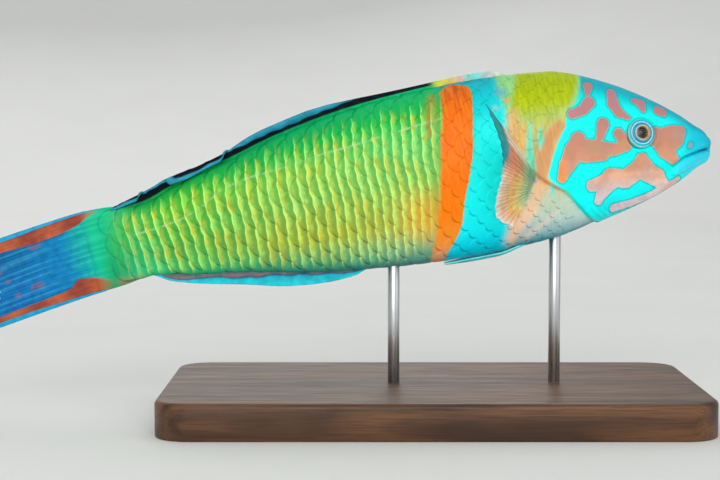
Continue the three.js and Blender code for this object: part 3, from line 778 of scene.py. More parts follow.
def living_skin_group():
    tree, given, result = group(
        "Living skin",
        [("Places", "Vector", None), ("Mottle Size", "Float", 3.0), ("Pore Size", "Float", 0.5)],
        [("Mottle", "Float"), ("Streaks", "Float"), ("Pores", "Float")],
    )
    mottle_scale = sums(tree, "DIVIDE", 1.0, given["Mottle Size"])
    mottle = node(tree, "TexNoise", {"Vector": given["Places"], "Scale": mottle_scale, "Detail": 4.0})
    tree.links.new(mottle.outputs["Fac"], result["Mottle"])
    stretched = stretch_places(tree, given["Places"], (1.5, 0.16, 1.0))
    streaks = node(tree, "TexNoise", {"Vector": stretched, "Scale": 1.0, "Detail": 3.0, "Roughness": 0.6})
    tree.links.new(ranged(tree, streaks.outputs["Fac"], 0.32, 0.68), result["Streaks"])
    pore_scale = sums(tree, "DIVIDE", 1.0, given["Pore Size"])
    pores = node(tree, "TexVoronoi", {"Vector": given["Places"], "Scale": pore_scale}, feature="SMOOTH_F1")
    tree.links.new(pores.outputs["Distance"], result["Pores"])
    return tree


soft_edge, scale_lines, living_skin = soft_edge_group(), scale_lines_group(), living_skin_group()
print("shared groups:", soft_edge.name, "/", scale_lines.name, "/", living_skin.name)

# %% [markdown]
# Skin and scales take one painted finish, so a mark runs from one to the other unbroken.
# The coats go on in the painter's order: ground, streaks, the lines of the scales, the
# orange bar with its dark border, and last the patches of the head with theirs. A wet fish
# has a thin gloss of mucus over a duller skin, which is the shader's coat.

# %% The painted finish
WET_TEAL, PALE_STREAK = paint4(20, 60, 60), paint4(255, 250, 200)
LINE_GOLD, LINE_EDGE, LATERAL_PALE = paint4(218, 206, 46), paint4(206, 255, 150), paint4(176, 214, 160)
BAR_GLOW, PATCH_BORDER, PATCH_BROWN = paint4(255, 146, 0), paint4(10, 138, 140), paint4(170, 120, 96)


def scale_line_coat(tree, colour, skin, places):
    """The bright line on each column of scales, its thin rear edge and the lateral line."""
    lines = use(tree, scale_lines, {"Column": stored(tree, "column"), "Row": stored(tree, "row"),
                                    "Phase": 0.2, "Width": 0.38, "Wander": 0.16, "Places": places})
    broken = ranged(tree, skin["Streaks"], 0.0, 1.0, 0.66, 1.0)
    stripe = sums(tree, "MULTIPLY", stored(tree, "stripe"), broken)
    gilding = ranged(tree, skin["Mottle"], 0.4, 0.68, 0.05, 0.8)
    line_tone = mixed(tree, gilding, stored(tree, "stripe_tone", "Color"), LINE_GOLD)
    colour = mixed(tree, sums(tree, "MULTIPLY", lines["Body"], stripe), colour, line_tone)
    bright = sums(tree, "MULTIPLY", sums(tree, "MULTIPLY", lines["Rear Edge"], stripe), 0.6)
    colour = mixed(tree, bright, colour, LINE_EDGE)
    lateral = ranged(tree, sums(tree, "ABSOLUTE", stored(tree, "lateral")), 0.12, 0.42, 1.0, 0.0)
    faint = ranged(tree, skin["Mottle"], 0.38, 0.62, 0.05, 0.5)
    return mixed(tree, sums(tree, "MULTIPLY", lateral, faint), colour, LATERAL_PALE)


def bar_coat(tree, colour, skin, places):
    bar = use(tree, soft_edge, {"Depth": stored(tree, "bar"), "Softness": 0.25, "Line Width": 0.5,
                                "Wander": 0.8, "Places": places})
    glow = sums(tree, "MULTIPLY", skin["Streaks"], 0.5)
    tone = mixed(tree, glow, stored(tree, "bar_tone", "Color"), BAR_GLOW)
    return mixed(tree, bar["Inside"], colour, tone)


def patch_coat(tree, colour, skin, places):
    patch = use(tree, soft_edge, {"Depth": stored(tree, "patch"), "Softness": 0.2, "Line Width": 0.42,
                                  "Wander": 0.6, "Places": places})
    colour = mixed(tree, sums(tree, "MULTIPLY", patch["Line"], 0.6), colour, PATCH_BORDER)
    brown = ranged(tree, skin["Mottle"], 0.4, 0.7, 0.0, 0.35)
    tone = mixed(tree, brown, stored(tree, "patch_tone", "Color"), PATCH_BROWN)
    return mixed(tree, patch["Inside"], colour, tone)


def wet_surface(tree, shader, skin, smoothest, roughest, pore_depth, strength):
    """An uneven gloss, and the pores as fine relief."""
    tree.links.new(ranged(tree, skin["Mottle"], 0.3, 0.7, smoothest, roughest), shader["Roughness"])
    bump = node(tree, "Bump", {"Height": skin["Pores"], "Distance": pore_depth, "Strength": strength})
    tree.links.new(bump.outputs["Normal"], shader["Normal"])


def painted_finish(name, roughness, pore_depth):
    material, tree, shader = finish_of(name, roughness, Coat_Weight=0.04, Coat_Roughness=0.15,
                                       Specular_IOR_Level=0.12)
    places = stored(tree, "flat", "Vector")
    skin = use(tree, living_skin, {"Places": places, "Mottle Size": 3.2, "Pore Size": 0.42})
    wet = ranged(tree, skin["Mottle"], 0.35, 0.75, 0.0, 0.08)
    colour = mixed(tree, wet, stored(tree, "ground", "Color"), WET_TEAL, "MULTIPLY")
    streak = sums(tree, "MULTIPLY", stored(tree, "streak"), skin["Streaks"])
    colour = mixed(tree, sums(tree, "MULTIPLY", streak, 0.5), colour, PALE_STREAK, "SOFT_LIGHT")
    for coat in (scale_line_coat, bar_coat, patch_coat):
        colour = coat(tree, colour, skin, places)
    tree.links.new(colour, shader["Base Color"])
    wet_surface(tree, shader, skin, roughness - 0.06, roughness + 0.08, pore_depth, 0.6)
    return material


skin_finish = painted_finish("painted_skin", 0.42, 0.00006)
scale_finish = painted_finish("painted_scales", 0.36, 0.00003)
print("painted finishes:", skin_finish.name, "and", scale_finish.name)

# %% [markdown]
# A mesh keeps its marks as named attributes. One function makes every soft piece: it takes
# the points and faces, stores the marks, and hides the model's parts that the piece stands in for.

# %% Making a piece
def make_piece(name, places, faces, finish, replaces=(), fields=None, tones=None, flat=None, uv=None,
               smooth=None):
    mesh = bpy.data.meshes.new(name)
    mesh.from_pydata(np.asarray(places).reshape(-1, 3).tolist(), [], np.asarray(faces).tolist())
    mesh.polygons.foreach_set("use_smooth", [True] * len(mesh.polygons) if smooth is None else smooth)
    for label, values in (fields or {}).items():
        mesh.attributes.new(label, "FLOAT", "POINT").data.foreach_set("value", np.ravel(values))
    for label, values in (tones or {}).items():
        rgba = np.ones((len(mesh.vertices), 4))
        rgba[:, :3] = np.reshape(values, (-1, 3))
        mesh.attributes.new(label, "FLOAT_COLOR", "POINT").data.foreach_set("color", np.ravel(rgba))
    if flat is not None:
        mesh.attributes.new("flat", "FLOAT_VECTOR", "POINT").data.foreach_set("vector", np.ravel(flat))
    if uv is not None:
        mesh.uv_layers.new(name="OFBake").data.foreach_set("uv", np.ravel(uv))
    mesh.materials.append(finish)
    piece = bpy.data.objects.new(name, mesh)
    bpy.context.scene.collection.objects.link(piece)
    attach(piece, "root")
    if replaces:
        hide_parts(*replaces)
    triangles = sum(len(face.vertices) - 2 for face in mesh.polygons)
    print(name, "-", len(mesh.vertices), "points,", triangles, "triangles")
    return piece


# %% [markdown]
# The skin has real relief where a fish has it: the slit of the mouth between two lips, two
# nostrils, the socket and rim of the eye, the gill cover standing over the body behind it,
# and the folds under the throat. Each is a small push along the surface, in millimetres.

# %% Relief of the skin
EYE = {"s": 19.5, "z": 4.0, "radius": 3.9, "depth": 3.0, "proud": 0.7, "forward": 10, "up": 10}
MOUTH = [(-3, -0.4, 0), (2.7, -0.9, 0), (8.3, -2.5, 0), (11.0, -4.6, 0)]
UPPER_LIP = [(-1, 1.3, 1.0), (3.0, 0.8, 1.1), (7.5, -0.7, 1.0), (10.4, -2.9, 0.7)]
LOWER_LIP = [(-1, -2.6, 1.1), (3.4, -3.2, 1.3), (8.0, -4.9, 1.0), (10.6, -6.3, 0.6)]
NOSTRILS = [(13.4, 6.5, 0.28), (15.0, 7.3, 0.34)]
CHEEK_FOLD = [(30.5, 7, 0), (28.8, 0, 0), (29.6, -8, 0), (32.5, -13, 0), (36, -15, 0)]
COAT = 0.6


def groove(chain, s, z, width):
    return np.exp(-((np.minimum(blob(chain, s, z, 0.02), 0) / width) ** 2))


def behind_gill(s, z):
    return past(GILL_EDGE, s, z)


def coat_depth(s, z):
    """How far the skin lies under the fish's outline, to leave room for the scales."""
    nape = ease(s, 36, 46) * ease(z, 6, 12)
    side = ease(behind_gill(s, z), -0.1, 0.5) * (1 - ease(z, 6, 12))
    into_tail = 0.5 * ease(s, 155.5, 160) * (1 - ease(np.abs(z), 5, 9))
    return COAT * np.clip(nape + side, 0, 1) * (1 - 0.75 * ease(s, 146, 158)) + into_tail


def chest_step(s, z):
    """The body falls away right behind the gill cover's edge, but not at the back or the belly."""
    amount = 0.5 * (1 - ease(z, 6, 12)) * (0.1 + 0.9 * ease(z, -19, -13))
    behind = behind_gill(s, z)
    return amount * ease(behind, -0.1, 0.35) * np.exp(-np.maximum(behind, 0) / 2.2)


def relief(s, z):
    push = 0.40 * ease(blob(UPPER_LIP, s, z), -0.5, 0.6) + 0.42 * ease(blob(LOWER_LIP, s, z), -0.5, 0.6)
    push -= (1.5 + 0.9 * (1 - ease(s, 1.5, 4))) * groove(MOUTH, s, z, 0.27)
    for s0, z0, radius in NOSTRILS:
        away = np.hypot(s - s0, z - z0)
        push += 0.14 * np.exp(-(((away - 2 * radius) / 0.25) ** 2)) - 0.5 * np.exp(-((away / radius) ** 2))
    from_eye = np.hypot(s - EYE["s"], z - EYE["z"])
    push += 0.28 * np.exp(-(((from_eye - 4.5) / 0.55) ** 2))
    push -= 2.6 * ease(EYE["radius"] + 0.1 - from_eye, 0, 0.45)
    push -= 0.16 * groove(CHEEK_FOLD, s, z, 0.6)
    behind = behind_gill(s, z)
    side = (1 - ease(z, 6, 12)) * ease(z, -19, -12)
    push += 0.2 * side * np.exp(-((np.minimum(behind + 0.8, 0) / 1.2) ** 2)) * ease(-behind, -0.1, 0.2)
    push -= chest_step(s, z)
    throat = ease(-z, 13, 15.5) * ease(s, 14, 20) * ease(-behind, 0.3, 1.2)
    return push - 0.14 * throat * (0.5 + 0.5 * np.cos(behind * 2 * np.pi / 1.5)) ** 3


print("the skin lies", COAT, "mm under the scales' outline")

# %% [markdown]
# The skin itself is a tube of rings from the snout to the root of the tail fin, closest
# together on the head. Points stand evenly around each ring, by arc length. Two ends close
# it, so it is one solid body.

# %% The skin
SIDE_POINTS = 124
SHARE_STEPS = -1 + (np.arange(SIDE_POINTS) + 0.5) * 2 / SIDE_POINTS
RING_SHARES = np.concatenate([SHARE_STEPS, SHARE_STEPS[::-1]])
RING_SIDES = np.repeat([1.0, -1.0], SIDE_POINTS)
TAIL_CLOSING = 3.6
SKIN_INSET = 0.05  # keeps the skin clear of the scales over it
SIDE_APART = 40  # where each side lies in the flat layout that the finishes are worked out on
UV_MARGIN, UV_WIDTH = 0.004, 0.992
SKIN_NODES = ["head", "lower_jaw", "gill_cover_left", "gill_cover_right", "trunk", "tail"]
SKIN_S = np.concatenate([
    SNOUT_ROUNDING * (1 - np.cos(np.linspace(0.06, np.pi / 2, 13))),
    np.arange(3.3, 48, 0.32),
    np.arange(48.3, FLESH_END, 0.84),
    FLESH_END + TAIL_CLOSING * np.sin(np.linspace(0, np.pi / 2 - 0.12, 6)),
])


def far_side_drift(s, z, side):
    """The two sides of a fish are never painted quite alike, so the left side's marks wander."""
    loose = np.where(side > 0, np.clip(1 - share_of(s, z) ** 2, 0, 1), 0)
    return s + 0.7 * loose * np.sin(0.5 * z + 0.7), z + 0.5 * loose * np.sin(0.35 * s)


def ring_faces(ring_count, ring_points):
    """Quads between rings, and strips between opposite points that close both ends."""
    start = np.arange(ring_count - 1)[:, None] * ring_points + np.arange(ring_points)
    after = np.arange(ring_count - 1)[:, None] * ring_points + (np.arange(ring_points) + 1) % ring_points
    sides = np.stack([start, start + ring_points, after + ring_points, after], -1).reshape(-1, 4)
    k = np.arange(ring_points // 2 - 1)
    cap = np.stack([k, k + 1, ring_points - 2 - k, ring_points - 1 - k], -1)
    last = (ring_count - 1) * ring_points
    return np.vstack([sides, cap, last + cap[:, ::-1]])


def skin_points(s, on_body, angle):
    """Places on the straight fish, with the relief pushed out along the surface."""
    y, z = body_yz(on_body, angle)
    y = y * np.sqrt(np.clip(1 - ((s - on_body) / TAIL_CLOSING) ** 2, 0.02, 1))
    points = np.stack([-s, y * RING_SIDES, z], -1)
    along = np.gradient(points, axis=0)
    around = np.roll(points, -1, axis=1) - np.roll(points, 1, axis=1)
    normal = np.cross(along, around)
    normal /= np.linalg.norm(normal, axis=-1, keepdims=True)
    push = relief(s, z) - coat_depth(s, z) - SKIN_INSET
    return z, points + normal * push[..., None]


def skin_uv(rings, count, face_count):
    """The tube unrolled over the bake's map. The two ends keep to a corner."""
    uv = np.full((face_count, 4, 2), UV_MARGIN / 2)
    r, i = np.divmod(np.arange((rings - 1) * count), count)
    back = np.stack([r, r + 1, r + 1, r], -1) / (rings - 1)
    across = np.stack([i, i, i + 1, i + 1], -1) / count
    uv[: len(r)] = UV_MARGIN + UV_WIDTH * np.stack([back, across], -1)
    return uv


def make_skin():
    s = np.broadcast_to(SKIN_S[:, None], (len(SKIN_S), len(RING_SHARES)))
    on_body = np.minimum(s, FLESH_END)
    angle = angle_at(on_body, RING_SHARES * arc_limit(on_body, RING_SHARES))
    z, points = skin_points(s, on_body, angle)
    fields, tones = markings(*far_side_drift(s, z, RING_SIDES))
    fields["column"], fields["row"] = lattice_of(on_body, angle)
    flat = np.stack([s, arc_at(on_body, angle), RING_SIDES * SIDE_APART + 0 * s], -1)
    faces = ring_faces(*s.shape)
    places = posed(-points[..., 0], points[..., 1], points[..., 2])
    return make_piece("skin", places, faces, skin_finish, SKIN_NODES, fields, tones, flat,
                      skin_uv(*s.shape, len(faces)))


make_skin()

# %% [markdown]
# Each scale is a thin curved plate rooted in the skin and free behind, so it hides the
# front of the next. Its front end lies deep and its rear edge stands proud, as tiles do.
# The plates are made on the lattice and bent onto the body with it. All the plates of one
# stretch of one side are joined into one mesh.

# %% Scales
ALONG_STEPS, ACROSS_STEPS = 9, 11
SCALE_FRONT, SCALE_REAR = 0.62, 0.80  # from the root, in columns
SCALE_HALF_ROWS = 1.04
SCALE_THICKNESS = 0.1
SCALE_SLOPE = 0.036
RIM_THINNING = 0.6  # share of the thickness that is gone at the rim
SCALE_BURIED = 0.35  # how far the front end sinks into the skin
# s, how boldly the scales stand up: least on the chest and the cyan bar, softly on the flank
SCALE_BOLDNESS = curve([(36, 0.05), (54, 0.06), (62, 0.08), (74, 0.2), (90, 0.4), (140, 0.45), (150, 0.25),
                        (158, 0.08), (164, 0.05)])
STRETCHES = {"front": (34, 74), "middle": (74, 112), "rear": (112, 156)}
LATTICE_START, FIRST_SCALE_S = 33, 38
ROWS_EACH_WAY = 16
NAPE_Z, BEHIND_COVER = 11, 0.9  # scales start above this height, or this far behind the gill cover


def scale_roots():
    """The column and row of each scale on one side."""
    columns = np.arange(np.floor(column_at(LATTICE_START)), column_at(FLESH_END), 1.0)
    roots = []
    for row in range(-ROWS_EACH_WAY, ROWS_EACH_WAY + 1):
        for column in columns + (0.5 if row % 2 else 0.0):
            along = float(np.interp(column, COLUMNS, COLUMN_S))
            height = row * ROW_SHARE * float(PITCH(along))
            room = float(arc_limit(np.array(min(along, FLESH_END)), np.array(float(row))))
            if abs(height) < room - 0.1 * float(PITCH(along)):
                roots.append((column, row))
    return np.array(roots, float)


def roots_of(stretch):
    """The roots in one stretch, without those on the bare head."""
    roots = scale_roots()
    s, arc = place_of(roots[:, 0], roots[:, 1])
    _, z = body_yz(s, angle_at(s, arc))
    clear = (behind_gill(s, z) > BEHIND_COVER) | (z > NAPE_Z)
    return roots[(s >= stretch[0]) & (s < stretch[1]) & clear & (s > FIRST_SCALE_S)]


def plate_faces(rows, columns):
    """A closed plate: a top grid, a bottom grid under it and a rim between them."""
    index = np.arange(rows * columns).reshape(rows, columns)
    top = np.stack([index[:-1, :-1], index[1:, :-1], index[1:, 1:], index[:-1, 1:]], -1).reshape(-1, 4)
    under = top[:, ::-1] + rows * columns
    rim = np.concatenate([index[0, :-1], index[:-1, -1], index[-1, :0:-1], index[:0:-1, 0]])
    after = np.roll(rim, -1)
    walls = np.stack([rim, after, after + rows * columns, rim + rows * columns], -1)
    return np.vstack([top, under, walls])


def plate_smooth(rows, columns, count=1):
    """Which faces of the plates are shaded smooth: the grids, but not the rims."""
    grids = 2 * (rows - 1) * (columns - 1)
    return np.tile(np.arange(grids + 2 * (rows + columns - 2)) < grids, count)


def kept_inside(s, arc):
    """Scales that reach the middle line of the back or belly are gathered up short of it."""
    limit, soft = arc_limit(s, arc), 0.5
    over = np.maximum(np.abs(arc) - (limit - soft), 0)
    return np.where(over > 0, np.sign(arc) * (limit - soft * np.exp(-over / soft)), arc)


def scale_lattice(roots):
    """Shares of the way back and across each plate, and the columns and rows of its points."""
    a = np.linspace(0, 1, ALONG_STEPS)[None, :, None]
    b = np.linspace(-1, 1, ACROSS_STEPS)[None, None, :]
    rear = SCALE_REAR * np.sqrt(1 - 0.9 * b**2)
    column = roots[:, 0, None, None] - SCALE_FRONT + a * (SCALE_FRONT + rear)
    row = roots[:, 1, None, None] + b * SCALE_HALF_ROWS * (1 - 0.12 * (1 - a) ** 2)
    return a, b, column, row


def scale_height(s, z, a, b, column, thickness):
    """How far a plate's top stands over the fish's outline, in mm."""
    from_front = (column - column[:, :1, :]) * PITCH(np.interp(column, COLUMNS, COLUMN_S))
    height = thickness - coat_depth(s, z) + SCALE_BOLDNESS(s) * (SCALE_SLOPE * from_front - 0.04 * b**2)
    return height - chest_step(s, z) - SCALE_BURIED * (1 - a) ** 3


def scale_uv(roots, a, b, faces):
    """Every scale has a field of its own on the bake's map, in the order of the lattice."""
    low, high = roots.min(0), roots.max(0)
    cell = 1 / (high - low + 2)
    u = (roots[:, 0, None, None] - low[0] + 0.5 + 0.9 * a) * cell[0] + 0 * b
    v = (roots[:, 1, None, None] - low[1] + 1 + 0.45 * b) * cell[1] + 0 * a
    uv = np.stack([u, v], -1).reshape(len(roots), -1, 2)
    return np.concatenate([uv, uv], axis=1).reshape(-1, 2)[faces.ravel()]


def on_both_grids(values, count):
    """Each plate's marks, once for its top grid and once for the grid under it."""
    values = values.reshape(count, ALONG_STEPS * ACROSS_STEPS, -1)
    return np.concatenate([values, values], axis=1)


def make_scales(side, label, stretch):
    roots = roots_of(stretch)
    count = len(roots)
    a, b, column, row = scale_lattice(roots)
    s, wanted = place_of(column, row)
    on_body = np.minimum(s, FLESH_END)
    # an angle stops at the middle line of the back or belly, so past it the wanted arc counts
    arc = kept_inside(on_body, arc_at(on_body, angle_at(s, wanted)))
    arc = kept_inside(on_body, np.where(np.abs(wanted) > np.abs(arc), wanted, arc))
    angle = angle_at(on_body, arc)
    _, z = body_yz(on_body, angle)
    thickness = SCALE_THICKNESS * (1 - 0.6 * ease(s, 148, 158) - 0.5 * (1 - ease(s, 66, 80)))
    height = scale_height(s, z, a, b, column, thickness)
    fields, tones = markings(*far_side_drift(s, z, side))
    fields["column"], fields["row"] = column + 0 * s, row + 0 * s
    flat = np.stack([s, arc, side * SIDE_APART + 0 * s], -1)
    rim = np.maximum(ease(a, 0.8, 1.0), ease(np.abs(b), 0.75, 1.0))
    layers = []
    for lower in (RIM_THINNING * rim * thickness, thickness):
        y, z = body_yz(on_body, angle, height - lower)
        layers.append(posed(s, y * side, z).reshape(count, -1, 3))
    places = np.concatenate(layers, axis=1)
    faces = plate_faces(ALONG_STEPS, ACROSS_STEPS)[:, ::side]
    faces = (np.arange(count)[:, None, None] * places.shape[1] + faces).reshape(-1, 4)
    return make_piece(
        f"scales_{label}", places, faces, scale_finish, (),
        {name: on_both_grids(values, count) for name, values in fields.items()},
        {name: on_both_grids(values, count) for name, values in tones.items()},
        on_both_grids(flat, count), scale_uv(roots, a, b, faces),
        plate_smooth(ALONG_STEPS, ACROSS_STEPS, count))


for side, side_name in ((1, "left"), (-1, "right")):
    for stretch_name, stretch in STRETCHES.items():
        make_scales(side, f"{side_name}_{stretch_name}", stretch)

# %% [markdown]
# A fin is a fan of bony rays with skin stretched between them. Each one here is a closed
# plate over a grid that follows its rays. The plate swells along every ray, the soft rays
# fork halfway out, and small joints cross them.

# %% Fin helpers
MEMBRANE, RAY_HEIGHT = 0.26, 0.36
FIN_SHADE, RAY_SHEEN = paint4(60, 90, 110), paint4(225, 240, 235)


def ridges(across, along, count, fork=0.45, width=0.15):
    """1 on a ray and 0 between. Across runs over the fin and along from root to tip, both 0 to 1."""
    turned = across * count
    offset = np.abs(turned - np.floor(turned) - 0.5)
    split = 0.24 * ease(along, fork, fork + 0.35)
    return np.exp(-(((offset - split) / width) ** 2))


def half_uv(rows, columns):
    """The two faces of a plate side by side on the bake's map. The rim keeps to the first face."""
    i, j = np.divmod(np.arange(rows * columns), columns)
    u, v = 0.01 + 0.98 * i / (rows - 1), 0.01 + 0.47 * j / (columns - 1)
    front, back = np.stack([u, v], -1), np.stack([u, v + 0.5], -1)
    faces = plate_faces(rows, columns)
    top_count = (rows - 1) * (columns - 1)
    uv = np.vstack([front, back])[faces.ravel()].reshape(-1, 4, 2)
    uv[2 * top_count :] = front[faces[2 * top_count :] % (rows * columns)]
    return uv


def make_fin(name, s, y, z, thickness, finish, nodes, fields, tone):
    """A closed plate over a grid of places on the straight fish."""
    points = np.stack([-s, y, z], -1)
    normal = np.cross(np.gradient(points, axis=0), np.gradient(points, axis=1))
    normal /= np.maximum(np.linalg.norm(normal, axis=-1, keepdims=True), 1e-9)
    layers = [points + side * 0.5 * thickness[..., None] * normal for side in (1, -1)]
    places = [posed(-layer[..., 0], layer[..., 1], layer[..., 2]).reshape(-1, 3) for layer in layers]
    twice = {label: np.concatenate([np.ravel(values)] * 2) for label, values in fields.items()}
    tones = {"tone": np.concatenate([tone.reshape(-1, 3)] * 2)}
    flat = np.concatenate([np.stack([s, y, z], -1).reshape(-1, 3)] * 2)
    return make_piece(name, np.concatenate(places), plate_faces(*s.shape), finish, nodes, twice,
                      tones, flat, half_uv(*s.shape), plate_smooth(*s.shape))


def on_side(side, *grids):
    """On the right side a fin's grids run the other way, so its faces still look outwards."""
    return grids if side > 0 else [grid[::-1] for grid in grids]


def fin_finish(name, roughness, clear=False, gloss=0.05):
    """Rayed skin: a little lighter along the rays, finely streaked, glossy with water."""
    material, tree, shader = finish_of(name, roughness, Coat_Weight=gloss, Coat_Roughness=0.2,
                                       Specular_IOR_Level=2 * gloss)
    places = stored(tree, "flat", "Vector")
    skin = use(tree, living_skin, {"Places": places, "Mottle Size": 2.0, "Pore Size": 0.3})
    mottle = ranged(tree, skin["Mottle"], 0.35, 0.75, 0.0, 0.3)
    colour = mixed(tree, mottle, stored(tree, "tone", "Color"), FIN_SHADE, "MULTIPLY")
    ray = sums(tree, "MULTIPLY", stored(tree, "ray"), 0.2)
    tree.links.new(mixed(tree, ray, colour, RAY_SHEEN, "SOFT_LIGHT"), shader["Base Color"])
    if clear:
        tree.links.new(stored(tree, "body"), shader["Alpha"])
    wet_surface(tree, shader, skin, roughness - 0.05, roughness + 0.1, 0.00004, 0.5)
    return material


print("a fin is", MEMBRANE, "mm thick between its rays and", MEMBRANE + RAY_HEIGHT, "mm on a ray")



# %% [markdown]
# The dorsal fin is folded down, as on a fish under way. It is navy with a light blue edge,
# and yellow, pink and cyan over the shoulder. Towards the rear its loose edge flops over
# to the fish's right, stands up again for a few rays and flops once more.

# %% Dorsal fin
# s, how high the fin stands over the back
DORSAL_HEIGHT = curve([(49, 0.6), (54, 1.0), (62, 0.9), (70, 0.8), (80, 1.1), (88, 1.7), (94, 2.3),
                       (100, 2.7), (108, 2.7), (115, 2.75), (118.5, 2.4), (121, 1.95), (124, 1.8),
                       (130, 1.7), (134, 2.1), (137, 2.3), (143.5, 2.3), (146.5, 2.2), (150, 1.7),
                       (153, 1.1), (156, 0.2)])
# s, how far the fin leans to the fish's right, in degrees
DORSAL_LEAN = curve([(49, 0), (90, 6), (116, 14), (157, 16)])
# s where the fin starts to fall over, lies, starts to rise and stands again
DORSAL_FOLDS = [(120.5, 123.5, 136.6, 140.3), (144.2, 147.4, 170, 171)]
# length of the hanging part, its turn in degrees, the turn's start below the top and its span
HANGING, FOLD_TURN, FOLD_START, FOLD_SPAN = 1.7, 150, 0.45, 0.9
BLUE_WIDTH = 0.85
# s, how far up the fin its light blue edge begins
DORSAL_MARGIN = curve([(80, 3.0), (88, 1.6), (93, 1.3), (98, 1.1), (103, 1.0), (108, 1.15), (115, 1.2),
                       (118.5, 1.5), (121, 1.6), (124, 1.0), (130, 1.1), (136, 1.3), (140, 1.75),
                       (144, 1.7), (147, 1.0), (156, 0.6)])
DORSAL_RAYS = 21
ROOT_DEPTH = 1.6
RAY_LEAN = 1.1
END_DIP = 1.0
DORSAL_START, DORSAL_STOP = 49.2, 152.5
# share of the height, paint
DORSAL_DARK = [(0, (2, 30, 40)), (0.4, (2, 12, 24)), (1, (4, 18, 36))]
DORSAL_LIGHT = [(0.4, (14, 112, 140)), (0.75, (50, 156, 180)), (1, (28, 120, 150))]
# s, paint
DORSAL_SHOULDER = [(49, (214, 214, 196)), (54, (196, 200, 196)), (56.5, (120, 214, 210)),
                   (59, (150, 214, 190)), (60.5, (226, 168, 170)), (62, (222, 196, 110)),
                   (66, (208, 214, 70)), (68, (90, 150, 80))]


def end_sink(s, first, last):
    """Both ends of a fin dip into the body, in mm."""
    return END_DIP * (1 - ease(s, first, first + 5)) + END_DIP * ease(s, last - 6, last)


def median_fin_grid(first, last, height, columns, rows):
    """Places on a fin in the middle plane: s, the share of the height, and the fin's free height."""
    q = np.linspace(0, 1, columns)[:, None]
    share = np.linspace(0, 1, rows)[None, :]
    root_s = first + (last - first) * q + 0 * share
    tip_s = np.minimum(root_s + RAY_LEAN * height(root_s), last + 4)
    return q + 0 * share, root_s + (tip_s - root_s) * share, share + 0 * q, height(tip_s)


def folded(s):
    """1 where the fin has fallen over and 0 where it stands."""
    return sum(ease(s, a, b) - ease(s, c, d) for a, b, c, d in DORSAL_FOLDS)


def dorsal_height(s):
    return DORSAL_HEIGHT(s) + HANGING * ease(folded(s), 0.3, 1)


def dorsal_paint(s, share, out, reach):
    """Navy over the back's own colour, a light blue edge, and the bright shoulder in front."""
    tone = lay(ground_paint(s, back_height(s) - 0.5), shades(share, DORSAL_DARK), ease(out, -0.12, 0.1))
    margin = DORSAL_MARGIN(s) + (reach - BLUE_WIDTH - DORSAL_MARGIN(s)) * folded(s)
    from_margin = out - margin + 0.12 * np.sin(s * 1.3) + 0.1 * np.sin(s * 0.43)
    tone = lay(tone, shades(share, DORSAL_LIGHT), ease(from_margin, -0.12, 0.12) * ease(s, 82, 96))
    return lay(tone, shades(s, DORSAL_SHOULDER), 1 - ease(s, 66.5, 69))


def make_dorsal():
    q, s, share, reach = median_fin_grid(DORSAL_START, DORSAL_STOP, dorsal_height, 430, 23)
    out = -ROOT_DEPTH * (1 - ease(share, 0, 0.16)) + reach * ease(share, 0.08, 1.0) ** 0.8
    free = np.maximum(out, 0)
    turn_at = DORSAL_HEIGHT(s) - FOLD_START
    turn = np.radians(DORSAL_LEAN(s) + FOLD_TURN * folded(s) * ease(free, turn_at, turn_at + FOLD_SPAN))
    step = np.diff(free, axis=1, prepend=0)
    y = -np.cumsum(step * np.sin(turn), axis=1) + 0.16 * np.sin(s * 0.55) * share * ease(reach, 1.5, 3)
    z = back_height(s) + np.minimum(out, 0) + np.cumsum(step * np.cos(turn), axis=1)
    z = z - end_sink(s, DORSAL_START, DORSAL_STOP + 1.5)
    ray = ridges(q, share, DORSAL_RAYS) * (1 - 0.5 * share)
    thickness = (MEMBRANE + RAY_HEIGHT * ray) * (1 - 0.55 * share)
    return make_fin("dorsal_rays", s, y, z, thickness, dorsal_finish, ["dorsal_fin"],
                    {"ray": ray}, dorsal_paint(s, share, out, reach))


dorsal_finish = fin_finish("dorsal_skin", 0.55, gloss=0.03)
make_dorsal()

# %% [markdown]
# The anal fin is a bright cyan ribbon. A dark wavy line parts it from a pinkish stripe
# along its base.

# %% Anal fin
ANAL_HEIGHT = curve([(92, 0.0), (98, 1.2), (104, 2.3), (110, 2.9), (117, 3.1), (123, 2.9), (130, 2.4),
                     (138, 1.8), (144, 1.1), (149, 0.0), (153, 0.0)])
# s, the share of the fin's height at which the dark line runs
ANAL_LINE = curve([(92, 0.25), (104, 0.2), (112, 0.2), (118, 0.26), (123, 0.4), (130, 0.4), (134, 0.3),
                   (140, 0.52), (145, 0.5), (150, 0.4)])
ANAL_RAYS = 14
ANAL_START, ANAL_STOP = 92.3, 147.5
# share of the height, paint
ANAL_BASE = [(0, (70, 130, 110)), (0.15, (110, 110, 116)), (0.4, (160, 100, 106)), (1, (160, 96, 100))]
ANAL_CYAN = [(0.3, (4, 176, 200)), (0.75, (8, 206, 220)), (1, (24, 190, 210))]
ANAL_DARK = paint(20, 70, 110)


